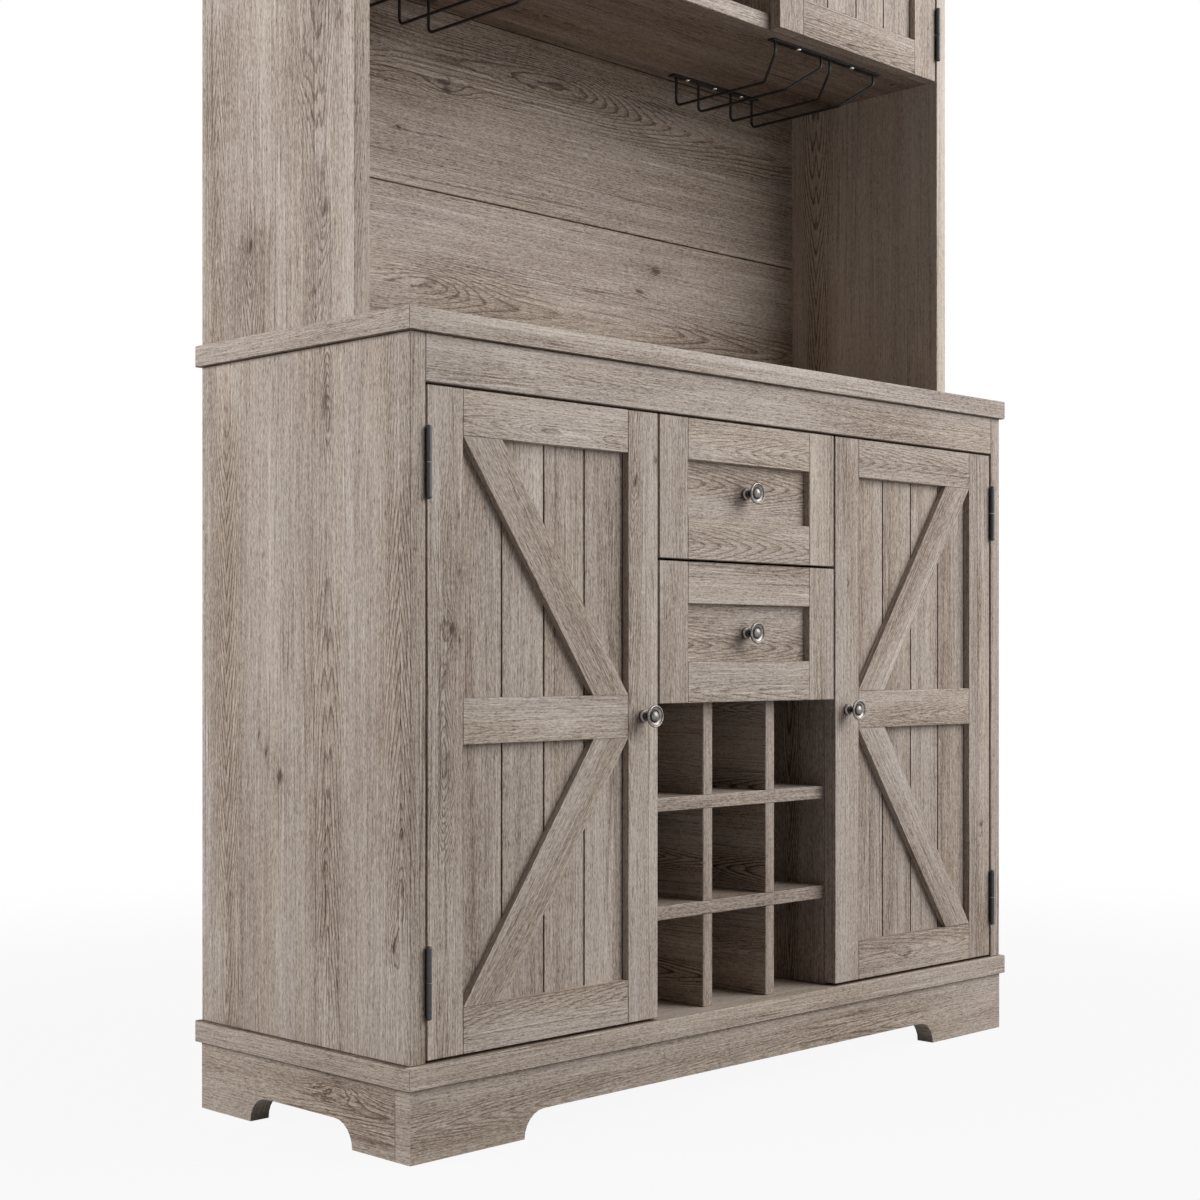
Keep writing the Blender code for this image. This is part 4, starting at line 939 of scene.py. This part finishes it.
WIRE_RADIUS = 0.002
WIRE_BEND = 0.008
BAR_WIDTH = 0.012
BAR_THICKNESS = 0.0025
SLOT_SPACING = 0.122
SLOT_WIDTH = 0.049
MOUTH_WIDTH = 0.102
MOUTH_LENGTH = 0.042
MOUTH_DROP = 0.0173
BAR_END = 0.010
SCREW_RADIUS = 0.0040
SCREW_FLATNESS = 0.62
RACK_STEEL = metal("rack_steel", (0.030, 0.030, 0.032), 0.34, (0.018, 0.018, 0.019), 0.35)
SCREW_STEEL = metal("screw_steel", (0.82, 0.80, 0.77), 0.24, (0.52, 0.50, 0.48))


def swept_wire(solid, corners, radius, bend):
    """A round wire drawn along straight runs and bent at their corners."""
    heading = (corners[1] - corners[0]).normalized()
    place = Matrix.Translation(corners[0]) @ heading.to_track_quat("Z", "Y").to_matrix().to_4x4()
    ring = bmesh.ops.create_circle(solid, cap_ends=True, segments=16, radius=radius, matrix=place)
    tip = list({face for vert in ring["verts"] for face in vert.link_faces})
    here = corners[0]
    for corner, after in zip(corners[1:], corners[2:] + [None]):
        stop = corner
        if after is not None:
            leaving = (after - corner).normalized()
            turn = heading.angle(leaving)
            setoff = bend * sin(turn / 2) / cos(turn / 2)
            stop = corner - heading * setoff
        grown = bmesh.ops.extrude_face_region(solid, geom=tip)
        verts = [part for part in grown["geom"] if isinstance(part, bmesh.types.BMVert)]
        tip = [part for part in grown["geom"] if isinstance(part, bmesh.types.BMFace)]
        bmesh.ops.translate(solid, verts=verts, vec=stop - here)
        here = stop
        if after is not None:
            axis = heading.cross(leaving).normalized()
            centre = here + axis.cross(heading) * bend
            spun = bmesh.ops.spin(solid, geom=tip, cent=centre, axis=axis, angle=turn, steps=6, use_duplicate=False)
            tip = [part for part in spun["geom_last"] if isinstance(part, bmesh.types.BMFace)]
            here = corner + leaving * setoff
            heading = leaving


for side_name in ("left", "right"):
    rack = "glass_rack_" + side_name
    low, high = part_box(rack)
    rack_x = (low.x + high.x) / 2
    top = high.z
    wire_z, weld_z = low.z + WIRE_RADIUS, top - BAR_THICKNESS / 2
    front, rear = low.y + BAR_WIDTH / 2, high.y - BAR_WIDTH / 2
    slots = (rack_x - SLOT_SPACING / 2, rack_x + SLOT_SPACING / 2)
    wires = bmesh.new()
    for slot_x in slots:
        for way in (-1, 1):
            mouth_x, wire_x = slot_x + way * MOUTH_WIDTH / 2, slot_x + way * SLOT_WIDTH / 2
            swept_wire(wires, [
                Vector((mouth_x, front, weld_z)), Vector((mouth_x, front, top - MOUTH_DROP)),
                Vector((wire_x, front + MOUTH_LENGTH, wire_z)),
                Vector((wire_x, rear, wire_z)), Vector((wire_x, rear, weld_z)),
            ], WIRE_RADIUS, WIRE_BEND)
    smooth_piece(shown_piece(rack + "_wires", wires, "cabinet", "black_metal", RACK_STEEL, rack), 50)
    for bar_name, bar_y, gap in (("front", front, MOUTH_WIDTH), ("rear", rear, SLOT_WIDTH)):
        half = (SLOT_SPACING + gap) / 2 + BAR_END
        bar_low = (rack_x - half, bar_y - BAR_WIDTH / 2, top - BAR_THICKNESS)
        bar_high = (rack_x + half, bar_y + BAR_WIDTH / 2, top)
        bar = board_solid(bar_low, bar_high, 0.0005)
        shown_piece(f"{rack}_{bar_name}_bar", bar, "cabinet", "black_metal", RACK_STEEL)
    screws = bmesh.new()
    for x, y in [(x, y) for x in slots for y in (front, rear)] + [(rack_x, rear)]:
        place = Matrix.Translation((x, y, top - BAR_THICKNESS)) @ Matrix.Diagonal((1, 1, SCREW_FLATNESS, 1))
        bmesh.ops.create_uvsphere(screws, u_segments=20, v_segments=10, radius=SCREW_RADIUS, matrix=place)
    smooth_piece(shown_piece(rack + "_screws", screws, "cabinet", "pewter", SCREW_STEEL))

# Cover caps
# Two small moulded caps close the holes of the fastenings that hold the hutch's
# bottom to its sides. They are pushed in from below, near the front corners.

COVER_X = 0.503
COVER_Y = -0.0371
COVER_PROFILE = (
    (0, 0), (0.0030, 0), (0.0044, -0.0003), (0.0048, -0.0009), (0.0040, -0.0014), (0.0022, -0.0019), (0, -0.0020),
)
CAP_PLASTIC = metal("cap_plastic", (0.200, 0.165, 0.140), 0.45, (0.165, 0.135, 0.115), 0.0)

for side_name, side in (("left", -1), ("right", 1)):
    cap = turned_solid(COVER_PROFILE, 32)
    place = (side * COVER_X, COVER_Y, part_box("hutch_bottom")[0].z)
    bmesh.ops.transform(cap, matrix=Matrix.Translation(place), verts=cap.verts)
    smooth_piece(shown_piece("cover_cap_" + side_name, cap, "cabinet", "black_metal", CAP_PLASTIC), 40)

# Room
# A pale floor and two soft lamps: a wide one high in front on the right, and one on
# the left a little behind, with hardly any light from the white surroundings.

FLOOR_REACH = 30.0
FLOOR_GREY = (0.28, 0.28, 0.28, 1)
WHITE = (1, 1, 1, 1)
LAMP_AIM = (0, 0, 0.9)


def seen(tree):
    """1 where a surface is looked at, straight, in gloss or through glass, and 0 for the light it casts."""
    path = node(tree, "ShaderNodeLightPath").outputs
    return highest(tree, path["Is Camera Ray"], path["Is Glossy Ray"], path["Is Transmission Ray"])


def stage_material(name, share):
    """A white that keeps soft shadows; share of it shows as plain white to the camera."""
    material, tree, shader = new_material(name)
    shader.inputs["Base Color"].default_value = FLOOR_GREY
    shader.inputs["Roughness"].default_value = 0.9
    glow = node(tree, "ShaderNodeEmission", (("Color", WHITE), ("Strength", 1.0)))
    away = vector_maths(tree, "LENGTH", node(tree, "ShaderNodeTexCoord").outputs["Object"])
    cover = times(tree, seen(tree), between(tree, away, 1.0, 2.6, share, 1.0))
    mix = node(tree, "ShaderNodeMixShader", ((0, cover), (1, shader.outputs[0]), (2, glow.outputs[0])))
    feed(tree, tree.nodes["Material Output"].inputs["Surface"], mix.outputs[0])
    return material


def lamp(name, place, size, power):
    light = bpy.data.lights.new(name, "AREA")
    light.shape = "SQUARE"
    light.size = size
    light.energy = power
    made = new_object(name, light)
    made.location = place
    made.rotation_euler = (Vector(LAMP_AIM) - Vector(place)).to_track_quat("-Z", "Y").to_euler()


floor_solid = bmesh.new()
bmesh.ops.create_grid(floor_solid, x_segments=1, y_segments=1, size=FLOOR_REACH)
floor = object_of("floor", floor_solid)
floor.data.materials.append(stage_material("floor_white", 0.92))

lamp("right_lamp", (2.58, -3.30, 3.03), 4.4, 284)
lamp("left_lamp", (-3.75, 1.75, 2.40), 2.4, 167)

world = bpy.data.worlds.new("studio")
bpy.context.scene.world = world
world.use_nodes = True
sky = world.node_tree
backdrop = sky.nodes["Background"]
backdrop.inputs["Color"].default_value = WHITE
feed(sky, backdrop.inputs["Strength"], between(sky, seen(sky), 0.0, 1.0, 0.03, 1.0, smooth=False))

camera_data = bpy.data.cameras.new("camera")
camera_data.sensor_width = 36.0
camera_data.lens = 59.30
camera_data.shift_y = 0.0476
camera = new_object("camera", camera_data)
camera.location = (-1.9106, -1.8119, 0.5422)
camera.rotation_euler = (radians(90), 0, radians(-45.24))
bpy.context.scene.camera = camera
bpy.context.scene.view_settings.view_transform = "Standard"
